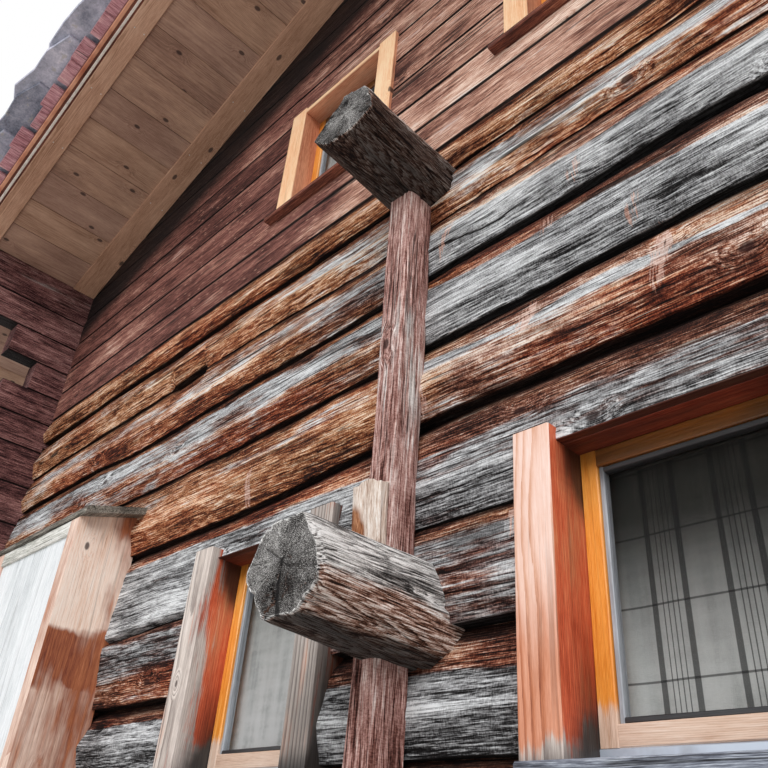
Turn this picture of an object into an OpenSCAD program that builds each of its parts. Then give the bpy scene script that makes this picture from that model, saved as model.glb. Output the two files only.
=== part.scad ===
// Alpine log chalet, from ground level to the ridge, in millimetres.
// X runs along the front, +Y runs from the front to the rear, +Z is up.
// The origin is on the ground, at the middle of the house.

/* [House] */
// Width of the front between the inner faces of the side walls
facade_w = 7290; // [7000:10:8000]
// Depth from the face of the front wall to the face of the rear wall
house_d = 8400; // [8000:50:9600]
// Thickness of the log walls
wall_t = 140; // [120:5:160]
// Height of the masonry plinth
plinth_h = 800; // [600:10:900]
// Thickness of the masonry plinth
plinth_t = 450; // [380:10:600]
// How far the plinth stands out past the log walls
plinth_out = 60; // [30:5:100]

/* [Logs] */
// Heights of the old hewn courses of the front, from the plinth up
hewn_courses = [265, 265, 265, 265, 295, 345, 340, 305, 330, 235, 275, 185];
// Height of a planed course above them
planed_h = 219; // [200:1:240]
// How far a hewn log bulges past the wall face
bulge = 25; // [12:1:40]
// Depth of the open joint between two hewn logs, behind the wall face
joint_d = 32; // [12:1:45]
// Chamfer along a planed log
planed_chamfer = 7; // [3:1:15]
// Where a side joint lies between two front joints, as a share of the course
side_step = 0.72; // [0.4:0.01:0.8]
// How far the front and rear logs run past the side walls
front_head = 190; // [120:10:260]
// How far the side logs run past the front and rear, repeated up the corner
side_heads = [430, 390, 460, 410, 445, 380, 455, 420, 470, 400, 440, 460, 400, 230, 440, 700];

/* [Roof] */
// Height of the underside of the roof boards at the ridge, above the plinth
ridge_h = 5687; // [5500:1:5800]
// Rise of the roof over its run
roof_rise = 0.335; // [0.3:0.005:0.37]
// Overhang of the boarded roof past the front and rear walls
verge_out = 960; // [800:10:1200]
// Overhang of the boarded roof past the side walls
eave_out = 1150; // [800:10:1300]
// Thickness of the boarded roof, its lining and the deck on it
boards_t = 56; // [40:1:70]
// Width of a slating board
slat_w = 170; // [120:5:180]
// Thickness of a slating board
slat_t = 30; // [20:1:40]
// Distance along the slope from one pair of slating boards to the next
slat_pitch = 385; // [380:1:440]
// How far the slating boards run past the boarded roof
slat_out = 90; // [60:5:120]
// How far the stones run past the boarded roof at the verge
stone_out = 235; // [180:5:260]
// Thickness of a roof stone
stone_t = 42; // [30:1:60]
// Length of a course of stones that shows
stone_course = 400; // [350:5:450]

/* [Purlins and rafters] */
// Width of the ridge purlin
ridge_purlin_w = 200; // [160:10:260]
// Height of the ridge purlin
ridge_purlin_h = 260; // [220:10:300]
// How far the purlins run past the front and rear walls
purlin_out = 760; // [680:10:770]
// Least height of an eave purlin
purlin_min_h = 200; // [150:10:220]
// Width of a rafter
rafter_w = 120; // [80:5:160]
// Height of a rafter
rafter_h = 150; // [120:5:180]
// Number of rafters on a slope
rafter_count = 7; // [5:1:9]

/* [Verge] */
// Width of the trim board along the wall
wall_trim_w = 168; // [120:2:200]
// Width of the trim board along the outer edge
edge_trim_w = 107; // [80:1:140]
// Gap between the outer trim board and the edge of the boards
edge_trim_in = 80; // [60:1:100]
// Thickness of the trim boards
trim_t = 18; // [12:1:25]
// Thickness of the folded metal on the edge of the boards
flashing_t = 4; // [2:0.5:6]
// Width of the folded metal under the edge of the boards
flashing_w = 60; // [40:1:75]

/* [Wall clamp] */
// Width of the upright clamp post
post_w = 110; // [90:1:120]
// Depth of the clamp post
post_d = 108; // [90:1:130]
// Centre of the clamp post, along the front
post_x = -80; // [-90:1:-65]
// Height of the foot of the clamp post above the plinth
post_foot = 320; // [200:10:500]
// Width of the lower clamp beam
lower_beam_w = 300; // [280:1:320]
// Height of the lower clamp beam
lower_beam_h = 280; // [250:1:300]
// Centre of the lower clamp beam, along the front
lower_beam_x = -27; // [-40:1:-20]
// Height of the underside of the lower clamp beam above the plinth
lower_beam_z = 1300; // [1250:5:1350]
// Width of the upper clamp beam
upper_beam_w = 300; // [280:1:320]
// Height of the upper clamp beam
upper_beam_h = 230; // [210:1:250]
// Centre of the upper clamp beam, along the front
upper_beam_x = -65; // [-80:1:-50]
// Height of the underside of the upper clamp beam above the plinth
upper_beam_z = 3020; // [3000:5:3060]
// How far the clamp beams stand out from the wall
beam_out = 480; // [400:5:560]
// How far the clamp beams reach into the rooms
beam_in = 150; // [100:10:200]
// Cut-off corner of a clamp beam
beam_chamfer = 72; // [50:1:80]
// Height of the tenon at the head of the clamp post
tenon_h = 70; // [50:5:90]
// Width of the wedge in front of the clamp post
wedge_w = 126; // [100:1:130]
// Thickness of the head of the wedge
wedge_t = 48; // [35:1:60]
// Thickness of the foot of the wedge
wedge_foot_t = 12; // [8:1:20]
// Height of the wedge above the lower beam
wedge_h = 225; // [180:5:260]
// Depth to which the wedge is driven into the lower beam
wedge_sunk = 200; // [150:5:230]

/* [Windows] */
// Width of a window opening between its jambs
open_w = 592; // [540:2:640]
// Height of a lower window opening
lower_open_h = 780; // [740:5:800]
// Height of an attic window opening
attic_open_h = 725; // [660:5:740]
// Height of the lower sills above the plinth
lower_sill = 1045; // [1030:5:1060]
// Height of the attic sills above the plinth
attic_sill = 3723; // [3700:1:3760]
// Width of a jamb
jamb_w = 118; // [100:1:125]
// How far the lower jambs stand out from the wall
lower_jamb_out = 57; // [45:1:70]
// How far the attic jambs stand out from the wall
attic_jamb_out = 20; // [10:1:40]
// How far the lower head boards lie behind the wall face
lower_head_in = 8; // [4:1:15]
// How far the jambs stand into the room
jamb_in = 30; // [24:1:40]
// Thickness of the board over an opening
head_t = 40; // [30:1:50]
// Thickness of a sill board
sill_t = 38; // [30:1:45]
// How far an attic sill stands out from the wall
attic_sill_out = 52; // [45:1:70]
// How far a lower sill stands out from the wall
lower_sill_out = 75; // [72:1:90]
// How far an attic sill runs past the jambs
sill_side = 62; // [30:1:90]
// Height of the metal strip between a sill and the frame
strip_h = 42; // [30:1:50]
// Thickness of that metal strip
strip_t = 20; // [12:1:30]
// Distance of the lower middle windows from the middle of the front
inner_x = 786; // [770:1:810]
// Distance of the attic windows from the middle of the front
attic_x = 755; // [740:1:790]
// Distance of the boxed windows from the middle of the front
outer_x = 2365; // [2340:5:2400]
// Distance of the outer side windows from the middle of a side
side_x = 2400; // [2200:10:2600]
// Depth of the window frames behind the wall face
frame_in = 88; // [60:1:100]
// Width of a frame
frame_w = 50; // [45:1:60]
// Depth of a frame
frame_d = 48; // [44:1:60]
// Width of a sash bar, the part that shows inside its frame
sash_w = 14; // [12:1:20]
// Depth of a sash
sash_d = 30; // [24:1:34]
// How far a sash lies behind the front of its frame
sash_in = 9; // [5:1:12]
// Thickness of the glass
glass_t = 6; // [4:1:8]
// Diameter of a curtain rod
rod_d = 10; // [8:1:14]
// Thickness of a curtain
curtain_t = 8; // [4:1:12]
// Gap round a curtain
curtain_in = 10; // [6:1:20]

/* [Window boxes] */
// Gap between a window's jambs and the cheeks of its box
box_gap = 5; // [2:1:15]
// How far a window box stands out from the wall
box_out = 285; // [250:5:330]
// Thickness of the cheeks
cheek_t = 50; // [35:1:60]
// Height of the foot of the boxes above the plinth
box_foot = 940; // [920:5:960]
// Height of the cheeks at their front edge, above the plinth
box_head = 2115; // [2095:5:2130]
// Rise of the cap from the front edge to the wall
cap_rise = 88; // [70:1:110]
// Thickness of the cap
cap_t = 35; // [25:1:45]
// How far the cap runs past the cheeks
cap_over = 74; // [50:1:90]
// How far the cap runs past the front edge of the cheeks
cap_nose = 10; // [5:1:30]
// Height of the rail under the cap
rail_h = 70; // [50:1:90]
// Thickness of the boarded panel
panel_t = 24; // [18:1:30]
// How far the panel lies behind the front edge of the cheeks
panel_in = 12; // [6:1:25]

/* [Floors] */
// Height of the ground floor joists
joist_h = 180; // [150:5:220]
// Width of a joist
joist_w = 120; // [80:5:140]
// Number of joists in a floor
joist_count = 9; // [7:1:11]
// Thickness of the floor boards
floor_t = 40; // [30:1:50]
// Height of the attic floor above the plinth
attic_floor_h = 2960; // [2940:5:2980]
// Height of the attic floor beams
attic_beam_h = 160; // [140:5:200]
// Height of the bearers that carry the attic floor beams
bearer_h = 120; // [100:5:140]

/* [Door] */
// Centre of the door, along the right side
door_x = 1900; // [1800:10:2000]
// Width of the doorway between its jambs
door_w = 900; // [850:5:950]
// Height of the doorway
door_h = 1900; // [1850:5:1950]
// Thickness of the door leaf
leaf_t = 50; // [40:1:60]
// Gap round the door leaf
leaf_gap = 3; // [2:0.5:5]
// Width of the steps and their landing
steps_w = 700; // [650:10:740]
// Length of the landing
landing_l = 1200; // [1150:10:1400]
// Length of a tread
tread_l = 290; // [260:5:320]
// Number of steps down from the landing
step_count = 4; // [3:1:5]

/* [Hidden] */
$fn = 24;

// The four sides, for the modules that place a wall or a window
FRONT = 0;
RIGHT = 1;
REAR = 2;
LEFT = 3;

eps = 1;
seat_gap = 0.3;
half_w = facade_w / 2;
half_d = house_d / 2;
outer_half_w = half_w + wall_t;

// Heights of the joints of the front wall
function total(list, count) = count <= 0 ? 0 : list[count - 1] + total(list, count - 1);
hewn_count = len(hewn_courses);
hewn_top = plinth_h + total(hewn_courses, hewn_count);
ridge_z = plinth_h + ridge_h;
planed_count = ceil((ridge_z - hewn_top) / planed_h);
course_count = hewn_count + planed_count;
function front_z(j) =
  j <= hewn_count ? plinth_h + total(hewn_courses, j) : hewn_top + (j - hewn_count) * planed_h;
function joint_z(j) = front_z(j) + side_step * (front_z(j + 1) - front_z(j));
function side_z(k) = k == 0 ? plinth_h : joint_z(k - 1);

// The roof planes, by height above the underside of the lining
function roof_z(x, up = 0) = ridge_z - roof_rise * abs(x) + up * sqrt(1 + roof_rise * roof_rise);
roof_x = outer_half_w + eave_out;
roof_y = half_d + verge_out;
slat_up = boards_t;
stone_up = slat_up + slat_t;
along = sqrt(1 + roof_rise * roof_rise);

// The last course that crosses the side walls lies under the eave purlins
last_cross = max([for (j = [0:course_count - 1]) if (joint_z(j) <= roof_z(half_w) - purlin_min_h) j]);

lower_open = [lower_sill + plinth_h, lower_sill + plinth_h + lower_open_h];
attic_open = [attic_sill + plinth_h, attic_sill + plinth_h + attic_open_h];
case_w = open_w + 2 * jamb_w;
case_back = wall_t + jamb_in;
box_w = case_w + 2 * (cheek_t + box_gap);
floor_z = plinth_h + joist_h + floor_t;
attic_floor_z = plinth_h + attic_floor_h;
post_front = -bulge - post_d;
post_left = post_x - post_w / 2;
joint_gap = 2;

// Each window is its side, its place along it and the bottom and top of its opening
LOWER_WINDOWS = [
  for (x = [-outer_x, -inner_x, inner_x, outer_x]) [FRONT, x],
  for (x = [-outer_x, -inner_x, inner_x, outer_x]) [REAR, x],
  for (x = [-side_x, 0, side_x]) [LEFT, x],
  for (x = [-side_x, 0]) [RIGHT, x]
];
ATTIC_WINDOWS = [for (side = [FRONT, REAR]) for (x = [-attic_x, attic_x]) [side, x]];
ALL_WINDOWS = concat([for (w = LOWER_WINDOWS) [w[0], w[1], lower_open[0], lower_open[1]]],
                     [for (w = ATTIC_WINDOWS) [w[0], w[1], attic_open[0], attic_open[1]]]);

// Places what is drawn for the front on one of the four sides, with the wall face at Y = 0
module on_side(side) {
  out = side == FRONT || side == REAR ? half_d : outer_half_w;
  rotate([0, 0, 90 * side]) translate([0, -out, 0]) children();
}

// A block from its low corner to its high corner
module block(low, high) {
  translate(low) cube(high - low);
}

// Face of a hewn log, by height: rounded, and drawn back at its joints
function hewn_face(share) =
  joint_d - (joint_d + bulge) * pow(1 - pow(abs(2 * share - 1), 2.6), 1 / 2.6);

// Section of a hewn log: flat inside, rounded outside
function hewn_section(h) = concat(
  [[wall_t, 0], [wall_t, h]], [for (i = [8:-1:0]) [hewn_face(i / 8), h * i / 8]]);

// Section of a planed log: square, with a small chamfer outside
function planed_section(h) = [
  [wall_t, 0], [wall_t, h], [planed_chamfer, h], [0, h - planed_chamfer], [0, planed_chamfer],
  [planed_chamfer, 0]
];

// A log from one place to another along X, with its foot at height z
module log_piece(from, to, z, h, hewn) {
  translate([from, 0, z]) rotate([90, 0, 90]) linear_extrude(to - from)
    polygon(hewn ? hewn_section(h) : planed_section(h));
}

// What a corner takes away from a log, outside the band that it keeps
module corner_notch(from, to, keep_low, keep_high, low, high) {
  for (s = [-1, 1]) {
    x0 = s > 0 ? from : -to;
    if (keep_low > low)
      block([x0, -bulge - eps, low - eps], [x0 + to - from, wall_t + eps, keep_low]);
    if (keep_high < high)
      block([x0, -bulge - eps, keep_high], [x0 + to - from, wall_t + eps, high + eps]);
  }
}

// Rough openings of a side that a log between two heights meets
module rough_openings(side, low, high) {
  for (w = ALL_WINDOWS)
    if (w[0] == side && w[2] - sill_t < high && w[3] + head_t > low)
      block([w[1] - case_w / 2, -bulge - eps, w[2] - sill_t],
            [w[1] + case_w / 2, wall_t + eps, w[3] + head_t]);
  if (side == RIGHT && floor_z - sill_t < high && floor_z + door_h + head_t > low)
    block([door_x - door_w / 2 - jamb_w, -bulge - eps, floor_z - sill_t],
          [door_x + door_w / 2 + jamb_w, wall_t + eps, floor_z + door_h + head_t]);
}

// Eight-sided section of a clamp beam
module beam_section(w, h) {
  c = beam_chamfer;
  polygon([[-w / 2 + c, 0], [w / 2 - c, 0], [w / 2, c], [w / 2, h - c], [w / 2 - c, h],
           [-w / 2 + c, h], [-w / 2, h - c], [-w / 2, c]]);
}

module clamp_beam(x, z, w, h, out, inside) {
  translate([x, inside, z]) rotate([90, 0, 0]) linear_extrude(out + inside) beam_section(w, h);
}

module lower_beam_shape(out = beam_out, inside = wall_t + beam_in) {
  clamp_beam(lower_beam_x, plinth_h + lower_beam_z, lower_beam_w, lower_beam_h, out, inside);
}

module upper_beam_shape(out = beam_out, inside = wall_t + beam_in) {
  clamp_beam(upper_beam_x, plinth_h + upper_beam_z, upper_beam_w, upper_beam_h, out, inside);
}

// The space under the roof lining, for cutting what runs up to it
module under_roof(from_y, to_y) {
  translate([0, to_y, 0]) rotate([90, 0, 0]) linear_extrude(to_y - from_y)
    polygon([[-roof_x, 0], [roof_x, 0], [roof_x, roof_z(roof_x)], [0, ridge_z],
             [-roof_x, roof_z(roof_x)]]);
}

// One course of the front or rear wall
module gable_wall_course(side, j) {
  low = front_z(j);
  high = front_z(j + 1);
  crosses = j <= last_cross;
  run = crosses ? outer_half_w + front_head : half_w;
  keep_low = (low + joint_z(j)) / 2;
  keep_high = (joint_z(j) + high) / 2;
  difference() {
    if (crosses || roof_z(half_w) >= high)
      log_piece(-run, run, low, high - low, j < hewn_count);
    else
      intersection() {
        log_piece(-run, run, low, high - low, j < hewn_count);
        under_roof(-bulge - eps, wall_t + eps);
      }
    if (crosses) corner_notch(half_w, outer_half_w + bulge, keep_low, keep_high, low, high);
    rough_openings(side, low, high);
    if (side == FRONT && low < plinth_h + lower_beam_z + lower_beam_h && high > plinth_h + lower_beam_z)
      lower_beam_shape();
    if (side == FRONT && low < plinth_h + upper_beam_z + upper_beam_h && high > plinth_h + upper_beam_z)
      upper_beam_shape();
    if (high > ridge_z - ridge_purlin_h)
      block([-ridge_purlin_w / 2, -bulge - eps, ridge_z - ridge_purlin_h],
            [ridge_purlin_w / 2, wall_t + eps, ridge_z]);
  }
}

// One course of a side wall, between the plinth and the eave purlin
module side_wall_course(side, k) {
  low = side_z(k);
  high = side_z(k + 1);
  run = half_d + side_heads[k % len(side_heads)];
  keep_low = k == 0 ? low : (low + front_z(k)) / 2;
  keep_high = (front_z(k) + high) / 2;
  difference() {
    log_piece(-run, run, low, high - low, k < hewn_count);
    corner_notch(half_d - wall_t, half_d + bulge, keep_low, keep_high, low, high);
    rough_openings(side, low, high);
  }
}

module wall_courses(side, parity) {
  if (side == FRONT || side == REAR)
    on_side(side) for (j = [parity:2:course_count - 1]) gable_wall_course(side, j);
  else
    on_side(side) for (k = [parity:2:last_cross]) side_wall_course(side, k);
}

// Masonry under the front and rear walls
module gable_plinths() {
  color("dimgray") for (side = [FRONT, REAR]) on_side(side)
    block([-outer_half_w - plinth_out, -plinth_out, 0],
          [outer_half_w + plinth_out, plinth_t - plinth_out, plinth_h]);
}

// Masonry under the side walls, between the other two
module side_plinths() {
  run = half_d + plinth_out - plinth_t;
  color("dimgray") for (side = [LEFT, RIGHT]) on_side(side)
    block([-run, -plinth_out, 0], [run, plinth_t - plinth_out, plinth_h]);
}

// Boards of a floor, from wall to wall, with their top at height z
module floor_slab(z) {
  color("peru")
    block([-half_w, -half_d + wall_t, z - floor_t], [half_w, half_d - wall_t, z]);
}

// Joists of the ground floor on the plinth, beams of the attic floor and the bearers under them
module floor_joists() {
  beam_foot = attic_floor_z - floor_t - attic_beam_h;
  first = -half_d + wall_t;
  step = (house_d - 2 * wall_t - joist_w) / (joist_count - 1);
  color("peru") {
    for (i = [0:joist_count - 1]) for (row = [[plinth_h, joist_h], [beam_foot, attic_beam_h]])
      block([-half_w, first + i * step, row[0]],
            [half_w, first + i * step + joist_w, row[0] + row[1]]);
    for (side = [LEFT, RIGHT]) on_side(side)
      block([-half_d + wall_t, wall_t, beam_foot - bearer_h],
            [half_d - wall_t, wall_t + joist_w, beam_foot]);
  }
}

// Top logs of the side walls, cut to the slope of the roof
module eave_purlins() {
  k = last_cross + 1;
  low = side_z(k);
  keep_low = (low + front_z(k)) / 2;
  run = half_d + purlin_out;
  color("sienna") intersection() {
    for (side = [LEFT, RIGHT]) on_side(side) difference() {
      log_piece(-run, run, low, roof_z(half_w) - low, false);
      corner_notch(half_d - wall_t, half_d + bulge, keep_low, ridge_z, low, ridge_z);
    }
    under_roof(-roof_y, roof_y);
  }
}

module ridge_purlin() {
  run = half_d + purlin_out;
  color("sienna") intersection() {
    block([-ridge_purlin_w / 2, -run, ridge_z - ridge_purlin_h], [ridge_purlin_w / 2, run, ridge_z]);
    under_roof(-roof_y, roof_y);
  }
}

// A layer of the roof on one slope: s is -1 on the left and 1 on the right
module roof_layer(s, up, t, from_x, to_x, from_y, to_y) {
  translate([0, to_y, 0]) rotate([90, 0, 0]) linear_extrude(to_y - from_y)
    polygon([[s * from_x, roof_z(from_x, up)], [s * to_x, roof_z(to_x, up)],
             [s * to_x, roof_z(to_x, up + t)], [s * from_x, roof_z(from_x, up + t)]]);
}

module rafters() {
  span = house_d - 2 * wall_t;
  color("peru") for (s = [-1, 1]) for (i = [0:rafter_count - 1]) {
    y = -half_d + wall_t + (i + 0.5) * span / rafter_count - rafter_w / 2;
    roof_layer(s, -rafter_h, rafter_h, ridge_purlin_w / 2, half_w, y, y + rafter_w);
  }
}

module roof_boards(s) {
  color("burlywood") roof_layer(s, 0, boards_t, 0, roof_x, -roof_y, roof_y);
}

// Pairs of boards that carry the stones
module slating_boards() {
  run = roof_y + slat_out;
  step = slat_pitch / along;
  w = slat_w / along;
  count = floor((roof_x - 2 * w) / step);
  color("indianred") for (s = [-1, 1]) for (i = [0:count]) for (k = [0, 1]) {
    x = roof_x - i * step - k * (w + 4);
    roof_layer(s, slat_up, slat_t, x - w, x, -run, run);
  }
}

// Courses of overlapping stones, from the eave to the ridge
module stone_slabs(s) {
  run = roof_y + stone_out;
  step = stone_course / along;
  edge = roof_x + stone_out / 2;
  count = ceil(edge / step);
  function course_x(i) = max(0, edge - i * step);
  color("slategray") translate([0, run, 0]) rotate([90, 0, 0]) linear_extrude(2 * run)
    polygon(concat(
      [[0, roof_z(0, stone_up)], [s * edge, roof_z(edge, stone_up)]],
      [for (i = [0:count - 1]) for (end = [0, 1])
        [s * course_x(i + end), roof_z(course_x(i + end), stone_up + (2 - end) * stone_t)]]));
}

// Stones laid over the ridge
module ridge_stones() {
  run = roof_y + stone_out;
  half = stone_course * 0.7;
  color("slategray") translate([0, run, 0]) rotate([90, 0, 0]) linear_extrude(2 * run)
    polygon([[0, roof_z(0, stone_up + 2 * stone_t)], [half, roof_z(half, stone_up + 2 * stone_t)],
             [half, roof_z(half, stone_up + 3 * stone_t)], [0, roof_z(0, stone_up + 3 * stone_t)],
             [-half, roof_z(half, stone_up + 3 * stone_t)], [-half, roof_z(half, stone_up + 2 * stone_t)]]);
}

// Boards under the roof, along the wall and along the outer edge
module verge_trims() {
  color("burlywood") for (r = [0, 180]) rotate([0, 0, r]) for (s = [-1, 1]) {
    inner = -half_d;
    outer = -roof_y + edge_trim_in;
    roof_layer(s, -trim_t, trim_t, ridge_purlin_w / 2, half_w, inner - wall_trim_w, inner);
    roof_layer(s, -trim_t, trim_t, joint_gap, roof_x, outer, outer + edge_trim_w);
  }
}

// Folded metal round the outer edge of the boarded roof
module verge_flashings() {
  color("saddlebrown") for (r = [0, 180]) rotate([0, 0, r]) for (s = [-1, 1]) {
    roof_layer(s, -flashing_t, slat_up + flashing_t, joint_gap, roof_x, -roof_y - flashing_t, -roof_y);
    roof_layer(s, -flashing_t, flashing_t, joint_gap, roof_x, -roof_y, -roof_y + flashing_w);
  }
}

// The wall clamp: a post that two beams hold against the wall
module clamp_post() {
  color("rosybrown") on_side(FRONT) {
    post_shape(plinth_h + post_foot, plinth_h + upper_beam_z);
    clamp_tenon();
  }
}

module post_shape(low, high) {
  block([post_left, post_front, low], [post_left + post_w, -bulge, high]);
}

module clamp_tenon() {
  top = plinth_h + upper_beam_z;
  block([post_x - post_w / 4, post_front + post_d / 4, top],
        [post_x + post_w / 4, -bulge - post_d / 4, top + tenon_h]);
}

// The post runs through the lower beam, with the wedge in front of it
module lower_clamp_beam() {
  low = plinth_h + lower_beam_z;
  color("gray") on_side(FRONT) difference() {
    lower_beam_shape();
    post_shape(low - eps, low + lower_beam_h + eps);
    wedge_shape();
  }
}

module upper_clamp_beam() {
  color("gray") on_side(FRONT) difference() {
    upper_beam_shape();
    clamp_tenon();
  }
}

// A wedge that is driven into the lower beam and presses the post against the wall
module clamp_wedge() {
  color("burlywood") on_side(FRONT) wedge_shape();
}

module wedge_shape() {
  beam_top = plinth_h + lower_beam_z + lower_beam_h;
  foot = beam_top - wedge_sunk;
  top = beam_top + wedge_h;
  translate([post_x - wedge_w / 2, 0, 0]) rotate([90, 0, 90]) linear_extrude(wedge_w)
    polygon([[post_front, foot], [post_front, top], [post_front - wedge_t, top],
             [post_front - wedge_foot_t, foot]]);
}

// Places what is drawn for an opening at X = 0 at each window of a list
module at_windows(windows) {
  for (w = windows) on_side(w[0]) translate([w[1], 0, 0]) children();
}

// Two jambs beside an opening
module jambs(low, high, w, out) {
  for (s = [-1, 1])
    block([s > 0 ? w / 2 : -w / 2 - jamb_w, -out, low],
          [s > 0 ? w / 2 + jamb_w : -w / 2, case_back, high + head_t]);
}

module lower_jambs() {
  color("sandybrown") at_windows(LOWER_WINDOWS)
    jambs(lower_open[0], lower_open[1], open_w, lower_jamb_out);
}

module attic_jambs() {
  color("sandybrown") at_windows(ATTIC_WINDOWS)
    jambs(attic_open[0], attic_open[1], open_w, attic_jamb_out);
}

// Boards over the openings, between their jambs
module head_boards() {
  color("sandybrown") {
    at_windows(LOWER_WINDOWS) head_board(lower_open[1], open_w, -lower_head_in);
    at_windows(ATTIC_WINDOWS) head_board(attic_open[1], open_w, attic_jamb_out);
    at_door() head_board(floor_z + door_h, door_w, -lower_head_in);
  }
}

module head_board(z, w, out) {
  block([-w / 2, -out, z], [w / 2, case_back, z + head_t]);
}

// Boards under the openings, and the threshold of the door
module sills() {
  color("maroon") {
    at_windows(LOWER_WINDOWS) sill(lower_open[0], case_w, lower_sill_out);
    at_windows(ATTIC_WINDOWS) {
      sill(attic_open[0], case_w, attic_sill_out);
      block([-case_w / 2 - sill_side, -attic_sill_out, attic_open[0] - sill_t],
            [case_w / 2 + sill_side, 0, attic_open[0]]);
    }
    at_door() sill(floor_z, door_w + 2 * jamb_w, lower_jamb_out, wall_t);
  }
}

module sill(z, w, out, back = case_back) {
  block([-w / 2, -out, z - sill_t], [w / 2, back, z]);
}

// Strips of metal between the sills and the frames
module sill_strips() {
  color("aliceblue") at_each_opening()
    block([-open_w / 2, frame_in, 0], [open_w / 2, frame_in + strip_t, strip_h]);
}

// A rectangular ring with a bar width of w, from one depth to another
module ring(half_x, low, high, w, from_y, to_y) {
  difference() {
    block([-half_x, from_y, low], [half_x, to_y, high]);
    block([-half_x + w, from_y - eps, low + w], [half_x - w, to_y + eps, high - w]);
  }
}

module at_each_opening() {
  for (w = ALL_WINDOWS) on_side(w[0]) translate([w[1], 0, w[2]]) {
    $open_h = w[3] - w[2];
    children();
  }
}

module window_frames() {
  color("orange") at_each_opening()
    ring(open_w / 2, strip_h, $open_h, frame_w, frame_in, frame_in + frame_d);
}

module window_sashes() {
  color("lightgray") at_each_opening()
    ring(open_w / 2 - frame_w, strip_h + frame_w, $open_h - frame_w, sash_w,
         frame_in + sash_in, frame_in + sash_in + sash_d);
}

module window_glass() {
  in = frame_w + sash_w;
  y = frame_in + sash_in + sash_d / 2;
  color("lightblue", 0.4) at_each_opening()
    block([-open_w / 2 + in, y - glass_t / 2, strip_h + in],
          [open_w / 2 - in, y + glass_t / 2, $open_h - in]);
}

module curtain_rods() {
  y = case_back - rod_d;
  color("white") at_each_opening()
    translate([-open_w / 2, y, $open_h - frame_w]) rotate([0, 90, 0]) cylinder(d = rod_d, h = open_w);
}

module curtains() {
  y = case_back - rod_d;
  top = frame_w + rod_d / 2 + seat_gap;
  color("whitesmoke") at_each_opening()
    block([-open_w / 2 + curtain_in, y - curtain_t / 2, curtain_in],
          [open_w / 2 - curtain_in, y + curtain_t / 2, $open_h - top]);
}

// The projecting boxes over the outer windows of the front
module at_boxes() {
  for (x = [-outer_x, outer_x]) on_side(FRONT) translate([x, 0, 0]) children();
}

// Points up the face of the front wall between two heights, to which the cheeks are scribed
function wall_face(low, high) = [
  for (j = [0:hewn_count - 1]) let (z0 = front_z(j), h = front_z(j + 1) - z0)
    for (i = [0:8]) let (y = hewn_face(i / 8), z = z0 + h * i / 8)
      if (z >= low && z <= high && (i > 0 || j == 0)) [y, z]];

module box_cheeks() {
  foot = plinth_h + box_foot;
  head = plinth_h + box_head;
  color("rosybrown") at_boxes() for (s = [-1, 1])
    translate([s > 0 ? box_w / 2 - cheek_t : -box_w / 2, 0, 0]) rotate([90, 0, 90])
      linear_extrude(cheek_t) intersection() {
        polygon([[-box_out, foot], [wall_t, foot], [wall_t, cap_z(wall_t)], [-box_out, head]]);
        polygon(concat([[-box_out, foot - wall_t]], wall_face(foot - wall_t, head + wall_t + joint_d),
                       [[-box_out, head + wall_t + joint_d]]));
      }
}

// Underside of a cap, by depth
function cap_z(y) = plinth_h + box_head + cap_rise * (y + box_out) / box_out;

module box_caps() {
  front = -box_out - cap_nose;
  color("dimgray") at_boxes()
    translate([-box_w / 2 - cap_over, 0, 0]) rotate([90, 0, 90]) linear_extrude(box_w + 2 * cap_over)
      polygon([[front, cap_z(front)], [-bulge, cap_z(-bulge)], [-bulge, cap_z(-bulge) + cap_t],
               [front, cap_z(front) + cap_t]]);
}

module box_rails() {
  inner = box_w / 2 - cheek_t;
  color("honeydew") at_boxes() {
    block([-inner, -box_out, plinth_h + box_head - rail_h],
          [inner, -box_out + cheek_t, plinth_h + box_head]);
    block([-inner, -box_out, plinth_h + box_foot],
          [inner, -lower_sill_out - joint_gap, plinth_h + box_foot + sill_t]);
  }
}

module box_panels() {
  inner = box_w / 2 - cheek_t;
  front = -box_out + panel_in;
  color("lightgray") at_boxes()
    block([-inner, front, plinth_h + box_foot + sill_t],
          [inner, front + panel_t, plinth_h + box_head - rail_h]);
}

// Places what is drawn for the doorway at X = 0
module at_door() {
  on_side(RIGHT) translate([door_x, 0, 0]) children();
}

module door_jambs() {
  color("sandybrown") at_door() jambs(floor_z, floor_z + door_h, door_w, lower_jamb_out);
}

module door_leaf() {
  color("saddlebrown") at_door()
    block([-door_w / 2 + leaf_gap, frame_in, floor_z + seat_gap],
          [door_w / 2 - leaf_gap, frame_in + leaf_t, floor_z + door_h - leaf_gap]);
}

// Masonry steps up to a landing before the door
module door_steps() {
  top = floor_z - sill_t;
  rise = top / (step_count + 1);
  color("gray") at_door() {
    block([-landing_l / 2, -plinth_out - steps_w, 0], [landing_l / 2, -plinth_out, top]);
    for (i = [1:step_count])
      block([-landing_l / 2 - i * tread_l, -plinth_out - steps_w, 0],
            [-landing_l / 2 - (i - 1) * tread_l, -plinth_out, top - i * rise]);
  }
}

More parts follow.
